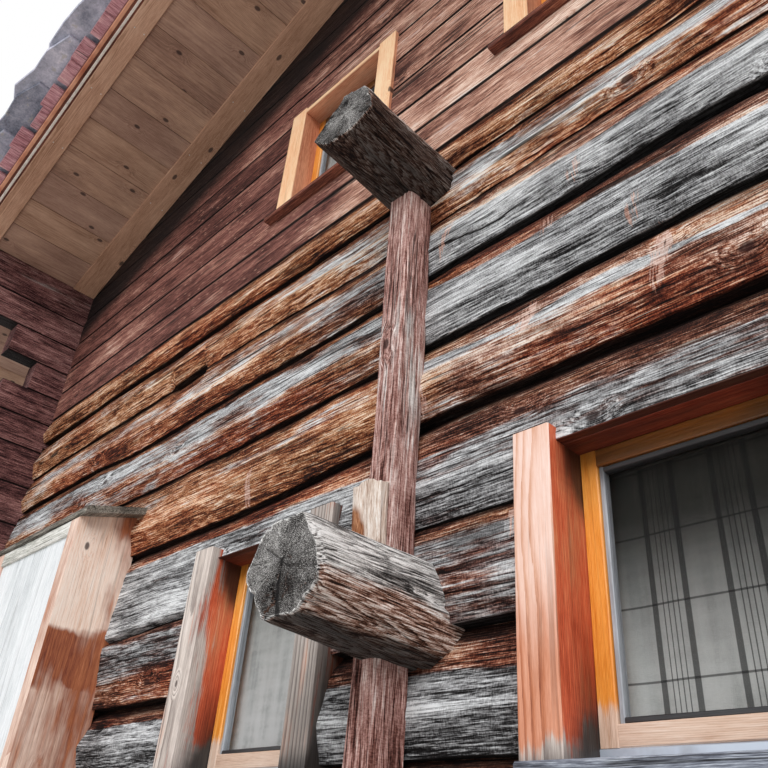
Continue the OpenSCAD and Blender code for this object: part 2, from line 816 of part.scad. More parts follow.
gable_plinths();
side_plinths();
floor_joists();
floor_slab(floor_z);  // ground_floor
floor_slab(attic_floor_z);  // attic_floor
color("sienna") wall_courses(FRONT, 1);  // front_logs_odd
color("saddlebrown") wall_courses(FRONT, 0);  // front_logs_even
color("sienna") wall_courses(REAR, 1);  // rear_logs_odd
color("saddlebrown") wall_courses(REAR, 0);  // rear_logs_even
color("sienna") wall_courses(LEFT, 1);  // left_logs_odd
color("saddlebrown") wall_courses(LEFT, 0);  // left_logs_even
color("sienna") wall_courses(RIGHT, 1);  // right_logs_odd
color("saddlebrown") wall_courses(RIGHT, 0);  // right_logs_even
eave_purlins();
ridge_purlin();
rafters();
roof_boards(-1);  // roof_boards_left
roof_boards(1);  // roof_boards_right
slating_boards();
stone_slabs(-1);  // stone_slabs_left
stone_slabs(1);  // stone_slabs_right
ridge_stones();
verge_trims();
verge_flashings();
clamp_post();
lower_clamp_beam();
upper_clamp_beam();
clamp_wedge();
lower_jambs();
attic_jambs();
head_boards();
sills();
sill_strips();
window_frames();
window_sashes();
window_glass();
curtain_rods();
curtains();
box_cheeks();
box_caps();
box_rails();
box_panels();
door_jambs();
door_leaf();
door_steps();
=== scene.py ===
import math

import bpy
import numpy as np
from mathutils import Matrix, Vector

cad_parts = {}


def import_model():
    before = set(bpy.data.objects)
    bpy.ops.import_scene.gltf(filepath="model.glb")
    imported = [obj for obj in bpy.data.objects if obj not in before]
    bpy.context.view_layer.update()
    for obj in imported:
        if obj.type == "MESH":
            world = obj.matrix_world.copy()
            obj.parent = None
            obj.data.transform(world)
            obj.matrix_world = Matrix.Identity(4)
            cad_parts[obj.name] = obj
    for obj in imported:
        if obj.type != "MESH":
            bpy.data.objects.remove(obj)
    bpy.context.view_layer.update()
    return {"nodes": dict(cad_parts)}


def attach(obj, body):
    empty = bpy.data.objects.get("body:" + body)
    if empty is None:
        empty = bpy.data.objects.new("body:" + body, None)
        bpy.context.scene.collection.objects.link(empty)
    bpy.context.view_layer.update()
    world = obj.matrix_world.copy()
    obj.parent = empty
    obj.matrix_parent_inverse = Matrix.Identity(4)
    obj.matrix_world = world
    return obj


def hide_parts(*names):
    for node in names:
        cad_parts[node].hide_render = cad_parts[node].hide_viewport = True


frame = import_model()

# Sizes of the house in metres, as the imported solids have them
FRONT, RIGHT, REAR, LEFT = range(4)
HALF_W, HALF_D, WALL = 3.645, 4.2, 0.14
OUTER_HALF_W = HALF_W + WALL
PLINTH_H, PLINTH_OUT = 0.8, 0.06
HEWN = [0.265, 0.265, 0.265, 0.265, 0.295, 0.345, 0.340, 0.305, 0.330, 0.235, 0.275, 0.185]
PLANED, PLANED_COUNT = 0.219, 11
FRONT_JOINTS = np.cumsum([PLINTH_H] + HEWN + [PLANED] * PLANED_COUNT)
SIDE_STEP, LAST_CROSS = 0.72, 15
SIDE_JOINTS = np.concatenate([[PLINTH_H], FRONT_JOINTS[:-1] + SIDE_STEP * np.diff(FRONT_JOINTS)])
FRONT_HEAD = 0.19
SIDE_HEADS = [0.43, 0.39, 0.46, 0.41, 0.445, 0.38, 0.455, 0.42, 0.47, 0.40, 0.44, 0.46, 0.40, 0.23,
              0.44, 0.70]
BULGE = 0.025
RIDGE_Z, RISE = 6.487, 0.335
ALONG = math.sqrt(1 + RISE * RISE)
ROOF_X, ROOF_Y = OUTER_HALF_W + 1.15, HALF_D + 0.96
BOARDS_T, SLAT_T, SLAT_W, SLAT_OUT, SLAT_PITCH = 0.056, 0.03, 0.17, 0.09, 0.385
STONE_OUT, STONE_T, STONE_COURSE = 0.235, 0.042, 0.4
LINING_W, LINING_T, TRIM_T, RIDGE_GAP = 0.235, 0.026, 0.018, 0.004
PURLIN_W, PURLIN_H, PURLIN_OUT = 0.2, 0.26, 0.76

OPEN_W, JAMB_W, CASE_BACK, CASING_OUT = 0.592, 0.118, 0.17, 0.057
CASE_W = OPEN_W + 2 * JAMB_W
HEAD_T, ATTIC_HEAD_T, SILL_T = 0.04, 0.024, 0.038
LOWER_OPEN, ATTIC_OPEN = (1.845, 2.625), (4.523, 5.248)
OUTER_X, INNER_X, ATTIC_X, SIDE_X = 2.365, 0.786, 0.755, 2.4
LOWER_WINDOWS = [(side, x) for side in (FRONT, REAR) for x in (-OUTER_X, -INNER_X, INNER_X, OUTER_X)]
LOWER_WINDOWS += [(LEFT, x) for x in (-SIDE_X, 0, SIDE_X)] + [(RIGHT, x) for x in (-SIDE_X, 0)]
ATTIC_WINDOWS = [(side, x) for side in (FRONT, REAR) for x in (-ATTIC_X, ATTIC_X)]
WINDOWS = [(s, x) + LOWER_OPEN for s, x in LOWER_WINDOWS] + [(s, x) + ATTIC_OPEN for s, x in ATTIC_WINDOWS]
FRAME_IN, FRAME_W, FRAME_D, SASH_W, SASH_D, SASH_IN = 0.088, 0.05, 0.048, 0.014, 0.03, 0.009
STRIP_H, STRIP_T = 0.042, 0.02
DOOR_X, DOOR_W, DOOR_H, FLOOR_Z = 1.9, 0.9, 1.9, 1.02

chance = np.random.default_rng(11)


# Smooth noise, for shapes

def lattice(i, j, k, seed):
    """A fixed random number between -1 and 1 for each point of a grid"""
    n = (i * 374761393 + j * 668265263 + k * 974711371 + seed * 1274126177) & 0xFFFFFFFF
    n = ((n ^ (n >> 13)) * 1274126177) & 0xFFFFFFFF
    return (n ^ (n >> 16)) / 0x7FFFFFFF - 1


def noise(seed, x, y=0.0, z=0.0):
    """Smooth noise between -1 and 1"""
    coords = np.broadcast_arrays(*(np.asarray(c, float) for c in (x, y, z)))
    cells = [np.floor(c).astype(np.int64) for c in coords]
    shares = [c - i for c, i in zip(coords, cells)]
    shares = [t * t * (3 - 2 * t) for t in shares]
    total = 0.0
    for corner in np.ndindex(2, 2, 2):
        weight = 1.0
        for bit, t in zip(corner, shares):
            weight = weight * (t if bit else 1 - t)
        total = total + weight * lattice(*(i + bit for i, bit in zip(cells, corner)), seed)
    return total


def smooth(low, high, x):
    """Goes smoothly from 0 to 1 as x goes from low to high"""
    t = np.clip((x - low) / (high - low), 0, 1)
    return t * t * (3 - 2 * t)


def roof_z(x):
    """The height of the underside of the roof's boards"""
    return RIDGE_Z - RISE * np.abs(x)


def strip(side, near, far, middle=0.0):
    """From near to far on one side of a middle, with the lower end first"""
    return sorted((middle + side * near, middle + side * far))


def on_side(points, side):
    """Moves what is drawn for the front wall, with its face at y = 0, to one of the four sides"""
    x, y, z = points.T
    y = y - (HALF_D if side in (FRONT, REAR) else OUTER_HALF_W)
    for _ in range(side):
        x, y = -y, x
    return np.stack((x, y, z), 1)


# What a timber's material reads besides its grain: a shift of tone, how grey, warm and deep it is, and a
# stain, dark for stains and painted shade, pale below nought; in places the tone carries painted highlight
# and shade too
LOOKS = "tone", "silver", "amber", "depth", "stain"


class Work:
    """Gathers lofted timbers and stones into one mesh, with the values that their material reads"""

    def __init__(self):
        self.points, self.faces, self.count = [], {3: [], 4: []}, 0
        self.looks = {name: [] for name in ("grain",) + LOOKS + ("end",)}

    def loft(self, rings, grain, side=None, levels=(1, 1), relief=None, **looks):
        """Closes a row of rings into a solid, with levels of rings on its two ends"""
        n, m, _ = rings.shape
        ids = np.arange(n * m).reshape(n, m)
        points, quads, fans = [rings.reshape(-1, 3)], [], []
        around = np.roll(ids, -1, axis=1)
        quads.append(np.stack((ids[:-1], ids[1:], around[1:], around[:-1]), -1).reshape(-1, 4))
        count = n * m
        for end in (0, 1):
            ring = rings[-1] if end else rings[0]
            centre = ring.mean(axis=0)
            last = ids[-1] if end else ids[0]
            for level in range(1, levels[end]):
                inner = centre + (ring - centre) * (1 - level / levels[end])
                new = np.arange(count, count + m)
                points.append(inner)
                count += m
                quad = np.stack((last, new, np.roll(new, -1), np.roll(last, -1)), -1)
                quads.append(quad if end else quad[:, ::-1])
                last = new
            points.append(centre[None])
            fan = np.stack((last, np.full(m, count), np.roll(last, -1)), -1)
            fans.append(fan if end else fan[:, ::-1])
            count += 1
        points = np.concatenate(points)
        if relief:
            points = relief(points, n * m)
        quads, fans = np.concatenate(quads), np.concatenate(fans)
        a, b, c, d = (points[quads[:, k]] for k in range(4))
        volume = np.einsum("ij,ij->", a, np.cross(b, c)) + np.einsum("ij,ij->", a, np.cross(c, d))
        a, b, c = (points[fans[:, k]] for k in range(3))
        volume += np.einsum("ij,ij->", a, np.cross(b, c))
        if volume < 0:
            quads, fans = quads[:, ::-1], fans[:, ::-1]
        self.looks["grain"].append(grain(points))
        for name in LOOKS:
            value = looks.get(name, 0.0)
            value = value(points) if callable(value) else value
            self.looks[name].append(np.broadcast_to(np.asarray(value, float), len(points)))
        self.looks["end"].append((np.arange(len(points)) >= n * m).astype(float))
        self.points.append(points if side is None else on_side(points, side))
        self.faces[4].append(quads + self.count)
        self.faces[3].append(fans + self.count)
        self.count += count

    def mesh(self, name, crease=38):
        """One mesh of what was gathered"""
        points = np.concatenate(self.points)
        quads, fans = np.concatenate(self.faces[4]), np.concatenate(self.faces[3])
        corners = points[quads]
        area = np.linalg.norm(np.cross(corners[:, 2] - corners[:, 0], corners[:, 3] - corners[:, 1]), axis=1)
        quads = quads[area > 1e-10]
        mesh = bpy.data.meshes.new(name)
        mesh.vertices.add(len(points))
        mesh.vertices.foreach_set("co", points.ravel())
        mesh.loops.add(quads.size + fans.size)
        mesh.loops.foreach_set("vertex_index", np.concatenate((quads.ravel(), fans.ravel())))
        starts = np.concatenate((np.arange(len(quads)) * 4, quads.size + np.arange(len(fans)) * 3))
        mesh.polygons.add(len(starts))
        mesh.polygons.foreach_set("loop_start", starts)
        mesh.polygons.foreach_set("use_smooth", np.ones(len(starts), bool))
        mesh.update(calc_edges=True)
        mesh.set_sharp_from_angle(angle=math.radians(crease))
        for look, values in self.looks.items():
            vector = look == "grain"
            store = mesh.attributes.new(look, "FLOAT_VECTOR" if vector else "FLOAT", "POINT")
            store.data.foreach_set("vector" if vector else "value", np.concatenate(values).ravel())
        return mesh

    def piece(self, name, material, slot, nodes=(), crease=38):
        """Turns what was gathered into one piece of the house"""
        return dress(bpy.data.objects.new(name, self.mesh(name, crease)), material, nodes)


def dress(obj, material, nodes=()):
    """Gives a finished piece its material and its body, and hides the solids it stands for"""
    bpy.context.scene.collection.objects.link(obj)
    obj.data.materials.clear()
    obj.data.materials.append(material)
    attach(obj, "root")
    if nodes:
        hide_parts(*nodes)
    return obj


def add_node(tree, kind, settings=None, values=()):
    """Adds a node: its settings first, then the values or links of its sockets"""
    made = tree.nodes.new(kind)
    for name, setting in (settings or {}).items():
        setattr(made, name, setting)
    for key, value in values.items() if isinstance(values, dict) else enumerate(values):
        give(tree, made.inputs[key], value)
    return made


def give(tree, socket, value):
    """Links a socket to what feeds it, or sets its value"""
    value = getattr(value, "socket", value)
    if isinstance(value, bpy.types.NodeSocket):
        tree.links.new(value, socket)
    else:
        socket.default_value = value


def row_tree():
    """A node tree that repeats a piece in a straight row, each copy a little astray and in its own tone"""
    tree = bpy.data.node_groups.new("row", "GeometryNodeTree")
    for label, kind in (("Geometry", "Geometry"), ("Count", "Int"), ("Step", "Vector"), ("Stray", "Vector"),
                        ("Seed", "Int"), ("Material", "Material")):
        tree.interface.new_socket(label, in_out="INPUT", socket_type="NodeSocket" + kind)
    tree.interface.new_socket("Geometry", in_out="OUTPUT", socket_type="NodeSocketGeometry")

    def add(kind, values=(), settings=None):
        return add_node(tree, kind, settings, values).outputs

    given = add("NodeGroupInput")
    line = add("GeometryNodeMeshLine", {"Count": given["Count"], "Offset": given["Step"]})
    copies = add("GeometryNodeInstanceOnPoints", {"Points": line[0], "Instance": given["Geometry"]})
    back = add("ShaderNodeVectorMath", {0: given["Stray"], "Scale": -1.0}, {"operation": "SCALE"})
    astray = add("FunctionNodeRandomValue", {"Min": back[0], "Max": given["Stray"], "Seed": given["Seed"]},
                 {"data_type": "FLOAT_VECTOR"})
    moved = add("GeometryNodeTranslateInstances", {"Instances": copies[0], "Translation": astray[0],
                                                   "Local Space": False})
    tone = add("FunctionNodeRandomValue", {2: -1.0, 3: 1.0, "Seed": given["Seed"]})
    toned = add("GeometryNodeStoreNamedAttribute", {"Geometry": moved[0], "Name": "tone", "Value": tone[1]},
                {"domain": "INSTANCE"})
    real = add("GeometryNodeRealizeInstances", {"Geometry": toned[0]})
    painted = add("GeometryNodeSetMaterial", {"Geometry": real[0], "Material": given["Material"]})
    add("NodeGroupOutput", {"Geometry": painted[0]})
    return tree


def row(name, work, count, step, stray, seed, material, nodes=()):
    """A piece made of what was gathered, repeated in a row"""
    mesh = work.mesh(name)
    mesh.attributes.remove(mesh.attributes["tone"])
    seed_piece = bpy.data.objects.new(name + "_first", mesh)
    bpy.context.scene.collection.objects.link(seed_piece)
    grow = seed_piece.modifiers.new("row", "NODES")
    grow.node_group = ROW
    values = {"Count": count, "Step": step, "Stray": stray, "Seed": seed, "Material": material}
    for socket in ROW.interface.items_tree:
        if socket.in_out == "INPUT" and socket.name in values:
            grow[socket.identifier] = values[socket.name]
    grown = seed_piece.evaluated_get(bpy.context.evaluated_depsgraph_get())
    whole = bpy.data.meshes.new_from_object(grown)
    seed_piece.modifiers.remove(grow)
    bpy.data.objects.remove(seed_piece)
    return dress(bpy.data.objects.new(name, whole), material, nodes)


ROW = row_tree()


def plank(work, low, high, along, side=None, edge=0.003, spacing=0.15, wave=0.001, **looks):
    """A board between two corners, with its grain along one axis and its edges eased"""
    low, high = np.array(low, float), np.array(high, float)
    b, c = (along + 1) % 3, (along + 2) % 3
    mid, half = (low + high) / 2, (high - low) / 2
    e = min(edge, 0.45 * half[b], 0.45 * half[c])
    u, v = half[b], half[c]
    ring = np.array([(-u + e, -v), (0, -v), (u - e, -v), (u, -v + e), (u, 0), (u, v - e), (u - e, v),
                     (0, v), (-u + e, v), (-u, v - e), (-u, 0), (-u, -v + e)])
    count = max(2, int(2 * half[along] / spacing) + 2)
    rings = np.zeros((count, len(ring), 3))
    rings[:, :, along] = np.linspace(low[along], high[along], count)[:, None]
    rings[:, :, b] = mid[b] + ring[:, 0]
    rings[:, :, c] = mid[c] + ring[:, 1]
    seed = int(chance.integers(1 << 20))
    run = rings[:, :, along]
    rings[:, :, b] += wave * noise(seed, run * 2.5, rings[:, :, c] * 3)
    rings[:, :, c] += wave * noise(seed + 5, run * 2.5, rings[:, :, b] * 3)
    pith = chance.uniform(-0.12, 0.12, 2)
    start = chance.uniform(-30, 30)

    def grain(p):
        return np.stack((p[:, b] - mid[b] + pith[0], p[:, c] - mid[c] + pith[1], p[:, along] + start), 1)

    looks.setdefault("tone", chance.uniform(-1, 1))
    work.loft(rings, grain, side, **looks)


# Materials

def linear(code):
    """A colour for the shader from its code"""
    parts = [int(code[k:k + 2], 16) / 255 for k in (1, 3, 5)]
    return tuple(c / 12.92 if c <= 0.04045 else ((c + 0.055) / 1.055) ** 2.4 for c in parts) + (1.0,)


class Value:
    """A number that a shader works out, for use in plain arithmetic"""

    def __init__(self, shade, socket):
        self.shade, self.socket = shade, socket

    def __add__(self, other):
        return self.shade.calc("ADD", self, other)

    def __sub__(self, other):
        return self.shade.calc("SUBTRACT", self, other)

    def __rsub__(self, other):
        return self.shade.calc("SUBTRACT", other, self)

    def __mul__(self, other):
        return self.shade.calc("MULTIPLY", self, other)

    def __truediv__(self, other):
        return self.shade.calc("DIVIDE", self, other)

    def __pow__(self, other):
        return self.shade.calc("POWER", self, other)

    def __abs__(self):
        return self.shade.calc("ABSOLUTE", self)

    __radd__, __rmul__ = __add__, __mul__


class Shade:
    """A procedural material and the nodes that it is made of"""

    def __init__(self, name):
        self.material = bpy.data.materials.new(name)
        self.material.use_nodes = True
        self.tree = self.material.node_tree
        self.surface = self.tree.nodes["Principled BSDF"]

    def node(self, kind, settings=None, values=(), out=0):
        """Adds a node and gives what one of its outputs says"""
        return Value(self, add_node(self.tree, kind, settings, values).outputs[out])

    def finish(self, **sockets):
        for name, value in sockets.items():
            give(self.tree, self.surface.inputs[name.replace("_", " ")], value)
        return self.material

    def calc(self, operation, *values):
        return self.node("ShaderNodeMath", {"operation": operation}, values)

    def attribute(self, name, out="Fac"):
        return self.node("ShaderNodeAttribute", {"attribute_name": name}, out=out)

    def place(self, out="Object"):
        return self.node("ShaderNodeTexCoord", out=out)

    def vector(self, operation, *values):
        return self.node("ShaderNodeVectorMath", {"operation": operation}, values)

    def stretched(self, where, share):
        """A place with its way along the grain made shorter, so that what is drawn there gets longer"""
        return self.vector("MULTIPLY", where, (1, 1, share))

    def parts(self, vector):
        split = self.node("ShaderNodeSeparateXYZ", {}, (vector,)).socket.node
        return [Value(self, out) for out in split.outputs]

    def join(self, x, y, z):
        return self.node("ShaderNodeCombineXYZ", {}, (x, y, z))

    def noise(self, where, scale, detail=2.0, roughness=0.5, out="Fac"):
        return self.node("ShaderNodeTexNoise", {}, {"Vector": where, "Scale": scale, "Detail": detail,
                                                    "Roughness": roughness}, out)

    def cells(self, x, y, scale):
        """How far each point of a plane is from the nearest of some scattered points"""
        return self.node("ShaderNodeTexVoronoi", {"voronoi_dimensions": "2D"},
                         {"Vector": self.join(x, y, 0.0), "Scale": scale})

    def step(self, value, low, high, to_low=0.0, to_high=1.0):
        """Goes smoothly from one number to another as a value goes from low to high"""
        return self.node("ShaderNodeMapRange", {"interpolation_type": "SMOOTHSTEP"},
                         (value, low, high, to_low, to_high))

    def ramp(self, value, palette):
        """The evenly spaced colours of a palette along a value"""
        codes = palette.split()
        made = self.node("ShaderNodeValToRGB", {}, (value,))
        points = made.socket.node.color_ramp.elements
        while len(points) < len(codes):
            points.new(0.5)
        for k, (point, code) in enumerate(zip(points, codes)):
            point.position, point.color = k / (len(codes) - 1), linear(code)
        return made

    def mix(self, share, first, second):
        """One colour turning into another"""
        first, second = (linear(c) if isinstance(c, str) else c for c in (first, second))
        return self.node("ShaderNodeMix", {"data_type": "RGBA"}, {0: share, 6: first, 7: second}, 2)

    def bump(self, height, distance):
        return self.node("ShaderNodeBump", {}, {"Strength": 1.0, "Distance": distance, "Height": height})


class Timber(Shade):
    """Solid wood: how its grain runs, and the noises that its colours and its relief share"""

    def __init__(self, name, loose, knots, knot_r, face):
        super().__init__(name)
        if loose:
            x, y, z = self.parts(self.place())
            self.grain = self.join(x, z, y)
        else:
            self.grain = self.attribute("grain", "Vector")
        bent = self.vector("SUBTRACT", self.noise(self.stretched(self.grain, 0.3), 5, 1, out="Color"),
                           (0.5, 0.5, 0.5))
        self.flow = self.vector("MULTIPLY_ADD", bent, (SWAY, SWAY, 0), self.grain)
        self.knot = None
        if knots:
            self.bend_round_knots(knots, knots * knot_r, face)
        self.broad = self.noise(self.stretched(self.flow, 0.06), 38, 3, 0.6) - 0.5
        self.fibre = self.noise(self.stretched(self.flow, 0.035), 110, 3, 0.72) - 0.5
        self.thin = self.noise(self.stretched(self.flow, 0.055), 300, 3, 0.75) - 0.5
        self.patch = self.noise(self.stretched(self.grain, 0.3), 7.5, 4, 0.66) - 0.5
        self.x, self.y, self.z = self.parts(self.flow)
        self.radius = (self.x * self.x + self.y * self.y) ** 0.5

    def bend_round_knots(self, scale, size, face):
        """Knots on the face across one axis, with the grain flowing round them"""
        place = self.parts(self.flow)
        far = self.cells(place[face], place[2] * 0.55, scale)
        self.knot = self.step(far, size * 1.3, size * 0.7)
        around = self.step(far, size * 5, size)
        self.flow = self.vector("MULTIPLY_ADD", self.join(around, around, 0.0), (0.015, 0.015, 0), self.flow)

    def across(self, share, scale):
        """Fine marks across the grain"""
        return self.noise(self.vector("MULTIPLY", self.grain, (share, share, 1.0)), scale, 2, 0.6) - 0.5

    def cracks(self, layers):
        """Cracks along the grain, in layers from the wide ones to the fine ones"""
        found = None
        for scale, width, share, mask in layers:
            seam = abs(self.noise(self.stretched(self.flow, share), scale, 2, 0.5) - 0.5)
            open_here = self.noise(self.stretched(self.grain, 0.4), mask, 2)
            line = self.step(seam, width, width * 0.3) * self.step(open_here, 0.5, 0.6)
            found = line if found is None else self.calc("MAXIMUM", found, line * 0.8)
        return found

    def late_wood(self, ring):
        """The dark part of each year's ring"""
        year = (self.radius + self.fibre * 0.003) / ring
        return self.step(self.calc("FRACT", year), 0.35, 0.95) - 0.4

    def cut_end(self, value, dark, height, late):
        """A sawn end in place of the long faces: its rings, the cracks out from its heart and its grit"""
        end = self.step(self.attribute("end"), 0.2, 0.7)
        turn = self.calc("ARCTAN2", self.y, self.x)
        ray = self.noise(self.join(turn * 2.6, self.radius * 6, 0.0), 2.2, 3, 0.6)
        shake = self.step(abs(ray - 0.5), 0.014, 0.003) * self.step(self.radius, 0.0, 0.03)
        grit = self.noise(self.grain, 300, 3, 0.65) - 0.5
        cut = 0.36 - late * 0.2 + grit * 2.0 + (ray - 0.5) * 0.35 + self.patch * 1.3
        hollow = grit * 0.8 - late * 0.08 - shake * 0.6
        return value + (cut - value) * end, dark + (shake - dark) * end, height + (hollow - height) * end

    def weathered(self, value, brown, orange, rust, sheltered, covered, grey):
        """The wood's own colour, then what is warm, rusty, painted and grey over it"""
        colour = self.ramp(value, brown)
        if orange:
            warm = self.attribute("amber") + self.patch * 1.2 + self.broad * 0.6
            colour = self.mix(self.step(warm, 0.2, 0.8), colour, self.ramp(value, orange))
        if rust:
            red = self.noise(self.stretched(self.grain, 0.3), 2.6, 3, 0.6)
            share = self.step(red + self.broad * 0.3, 0.46, 0.66, 0.0, 0.75)
            colour = self.mix(share, colour, self.ramp(value, rust))
        if sheltered:
            colour = self.mix(covered, colour, self.ramp(value, sheltered))
        if grey:
            worn = self.attribute("silver") + self.patch * 1.3 + self.broad * 0.9 + self.fibre * 0.7 \
                + self.thin * 0.3
            colour = self.mix(self.step(worn, 0.32, 0.68), colour, self.ramp(value, grey))
        return colour

    def nicked(self, colour, nicks):
        """Short pale nicks across the grain, in some places only"""
        nick = self.step(self.cells(self.y * 2.4 + self.z * 0.25, self.z * 0.6, nicks), 0.12, 0.05)
        chosen = self.step(self.noise(self.grain, 3.4, 2), 0.5, 0.56)
        return self.mix(nick * chosen * 0.5, colour, "#d8ac98")

    def stained(self, colour, value):
        """Scarred pale where the stain is below nought; above it, darkened by stains and by painted shade"""
        stain = self.attribute("stain")
        scar = 0 - stain + (self.across(0.12, 120) * 3.4 + self.patch * 1.8 + self.thin) \
            * self.step(stain, 0.0, -0.3) - 0.45
        colour = self.mix(self.step(scar, 0.0, 0.4, 0.0, 0.85), colour, self.ramp(value, SCAR))
        # Above nought the wood goes near black, for dark stains and for painted shade alike
        stain_and_shade = stain + (self.patch * 0.8 + self.broad * 0.4) * self.step(stain, 0.0, 0.2)
        return self.mix(self.step(stain_and_shade, 0.0, 1.0, 0.0, 0.93), colour, "#0e0a0b")


# How far the grain strays from its straight run, in metres
SWAY = 0.02
# Cracks: how many to a metre, their width, how much longer they are than wide, and how patchy
CRACKS = ((13, 0.014, 0.008, 3), (31, 0.018, 0.012, 5), (74, 0.026, 0.02, 8))
SCAR = "#7c4c3c #caa090 #f2e0d8"
# How far from a log's edge its dark joint reaches
JOINT = 0.0125


def timber(name, brown, orange=None, grey=None, sheltered=None, rust=None, ring=0.0035, contrast=1.0,
           lines=0.35, streak=1.0, crack=1.0, knots=0.0, knot_r=0.02, face=1, nicks=0.0, hatch=0.0,
           joints=False, ends=False, roughness=(0.6, 0.85), relief=0.004, specular=0.5, loose=False):
    """Wood from its palettes, with as much of each mark of age as it shows"""
    m = Timber(name, loose, knots, knot_r, face)
    m.surface.inputs["Specular IOR Level"].default_value = specular
    dark = m.cracks(CRACKS if hatch else CRACKS[:2]) * crack
    late = m.late_wood(ring)
    covered = m.step(m.attribute("depth"), 0.002, 0.006) if sheltered else None
    if sheltered:
        late = late * (1 - covered * 0.75)
    streaks = (m.broad * 0.5 + m.fibre + m.thin * 1.7) * streak
    value = 0.5 + (streaks + m.patch * 1.1 - late * (0.45 * lines)) * contrast + m.attribute("tone") * 0.07
    if hatch:
        value = value + m.across(0.35, 230) * hatch
    height = m.broad * 0.8 + m.fibre * 0.8 + m.thin * 0.3 - late * 0.05 - dark * 0.5
    if ends:
        value, dark, height = m.cut_end(value, dark, height, late)
    colour = m.weathered(value, brown, orange, rust, sheltered, covered, grey)
    if knots:
        colour = m.mix(m.knot * 0.85, colour, "#2c1614")
    colour = m.mix(dark * 0.9, colour, "#0c0706")
    if nicks:
        colour = m.nicked(colour, nicks)
    colour = m.stained(colour, value)
    if joints:
        colour = m.mix(m.step(m.attribute("depth"), JOINT, 0.009, 0.0, 0.96), colour, "#060304")
    shine = m.step(value, 0.2, 0.8, roughness[1], roughness[0])
    return m.finish(Base_Color=colour, Roughness=shine, Normal=m.bump(height, relief))


def stone(name, palette, scale=9.0, relief=0.006, roughness=0.85, lichen=None):
    """Stone, mortar or thick paint, mottled in two sizes"""
    m = Shade(name)
    place = m.place()
    big = m.noise(place, scale, 5, 0.62)
    small = m.noise(place, scale * 9, 3, 0.6)
    value = 0.5 + (big - 0.5) * 1.4 + (small - 0.5) * 0.6 + m.attribute("tone") * 0.2
    colour = m.ramp(value, palette)
    if lichen:
        spot = m.step(m.noise(place, 14, 4, 0.7), 0.6, 0.68)
        colour = m.mix(spot * 0.6, colour, lichen)
    height = big * 0.7 + small * 0.3
    return m.finish(Base_Color=colour, Roughness=roughness, Normal=m.bump(height, relief))


def metal(name, code, roughness, stain):
    """Weathered sheet metal or rod, duller where it is stained"""
    m = Shade(name)
    place = m.place()
    wear = m.noise(place, 6, 4, 0.6)
    colour = m.mix(m.step(wear, 0.4, 0.75), code, stain)
    return m.finish(Base_Color=colour, Metallic=0.6, Roughness=m.step(wear, 0.3, 0.7, roughness, 0.7),
                    Normal=m.bump(m.noise(place, 30, 3), 0.001))


log_wood = timber(
    "log_wood", "#0d0606 #311610 #603628 #8c5f4f #c09c8c #ecdcd2",
    orange="#140705 #451c0e #7f4629 #b07650 #dcb08a #f8e6d2",
    grey="#0e0d0e #3a393a #78787a #a2a3a5 #c2c4c7 #e6e8ea",
    rust="#120504 #40150c #742c18 #a65432 #d49468 #f2d0b0",
    ring=0.007, contrast=1.4, knots=2.1, knot_r=0.012, hatch=0.75, joints=True, ends=True,
    relief=0.007, specular=0.15)
planed_wood = timber(
    "planed_wood", "#160908 #3c1f1b #683f38 #8c5c52 #c0907c",
    orange="#1c0f10 #5a3830 #a47462 #d4a994 #f6e0d0", grey="#2c2628 #66585a #94868a #c0b4b4",
    ring=0.008, knots=1.6, knot_r=0.012, nicks=12.0, joints=True, ends=True, relief=0.003, specular=0.2)
corner_wood = timber(
    "corner_wood", "#180c0e #482a2b #7a5250 #9c7470 #c49c96", grey="#181618 #484446 #84807f #bab6b4",
    ring=0.007, contrast=1.1, hatch=0.6, joints=True, ends=True, relief=0.006, specular=0.15)
beam_wood = timber(
    "beam_wood", "#100806 #44281e #74503f #a88474 #dcc6ba #faf0ea",
    grey="#0a0808 #343130 #6e6b6a #a4a2a0 #dad8d6 #f8f7f6",
    ring=0.0045, contrast=1.7, lines=0.5, hatch=0.5, ends=True, relief=0.009, specular=0.15)
post_wood = timber(
    "post_wood", "#241210 #6a4038 #a87e76 #d2aea6 #f0dcd4", grey="#282322 #706a68 #aea8a6 #d8d3d0 #f4f0ee",
    ring=0.006, contrast=1.1, knots=3.0, knot_r=0.012, face=0, hatch=0.55, relief=0.006, specular=0.15)
wedge_wood = timber(
    "wedge_wood", "#7a5a48 #ccb4a4 #ece0d6 #fbf8f4", orange="#2c140a #6c3c22 #a8704c #d4a480",
    ring=0.004, ends=True, relief=0.005, specular=0.2)
case_wood = timber(
    "case_wood", "#a86c54 #dca88e #eec6b4 #f6d8cc #fdece4", orange="#7a3c28 #c07856 #dc9c80 #f0c4ac",
    grey="#4c4442 #a0948e #d8ccc4 #f4ece8", sheltered="#3a0e06 #9c3418 #de6844 #f49a6c #fcc090",
    ring=0.007, contrast=0.8, lines=1.0, streak=0.5, crack=0.3, knots=2.4, knot_r=0.007, face=0,
    roughness=(0.45, 0.6), relief=0.0015, specular=0.35)
attic_case = timber(
    "attic_case", "#b07048 #eeb486 #fad6ae #ffecc8", sheltered="#6a3822 #b46e4e #de9e7a #f4c6a6",
    contrast=0.7, streak=0.7, crack=0.2, knots=3.0, knot_r=0.01, face=0, relief=0.0015)
trim_wood = timber(
    "trim_wood", "#6c4a38 #a47a60 #c49a80 #dcb69c",
    contrast=0.75, lines=0.8, streak=0.7, crack=0.1, knots=3.6, knot_r=0.012, face=0, relief=0.0015)
lining_wood = timber(
    "lining_wood", "#5a3c30 #8c6a5a #a88674 #c0a08c", orange="#604232 #9a7660 #b8947c #d0b096",
    ring=0.008, contrast=0.85, lines=0.4, streak=0.55, crack=0.1, knots=4.4, knot_r=0.011, relief=0.0012)
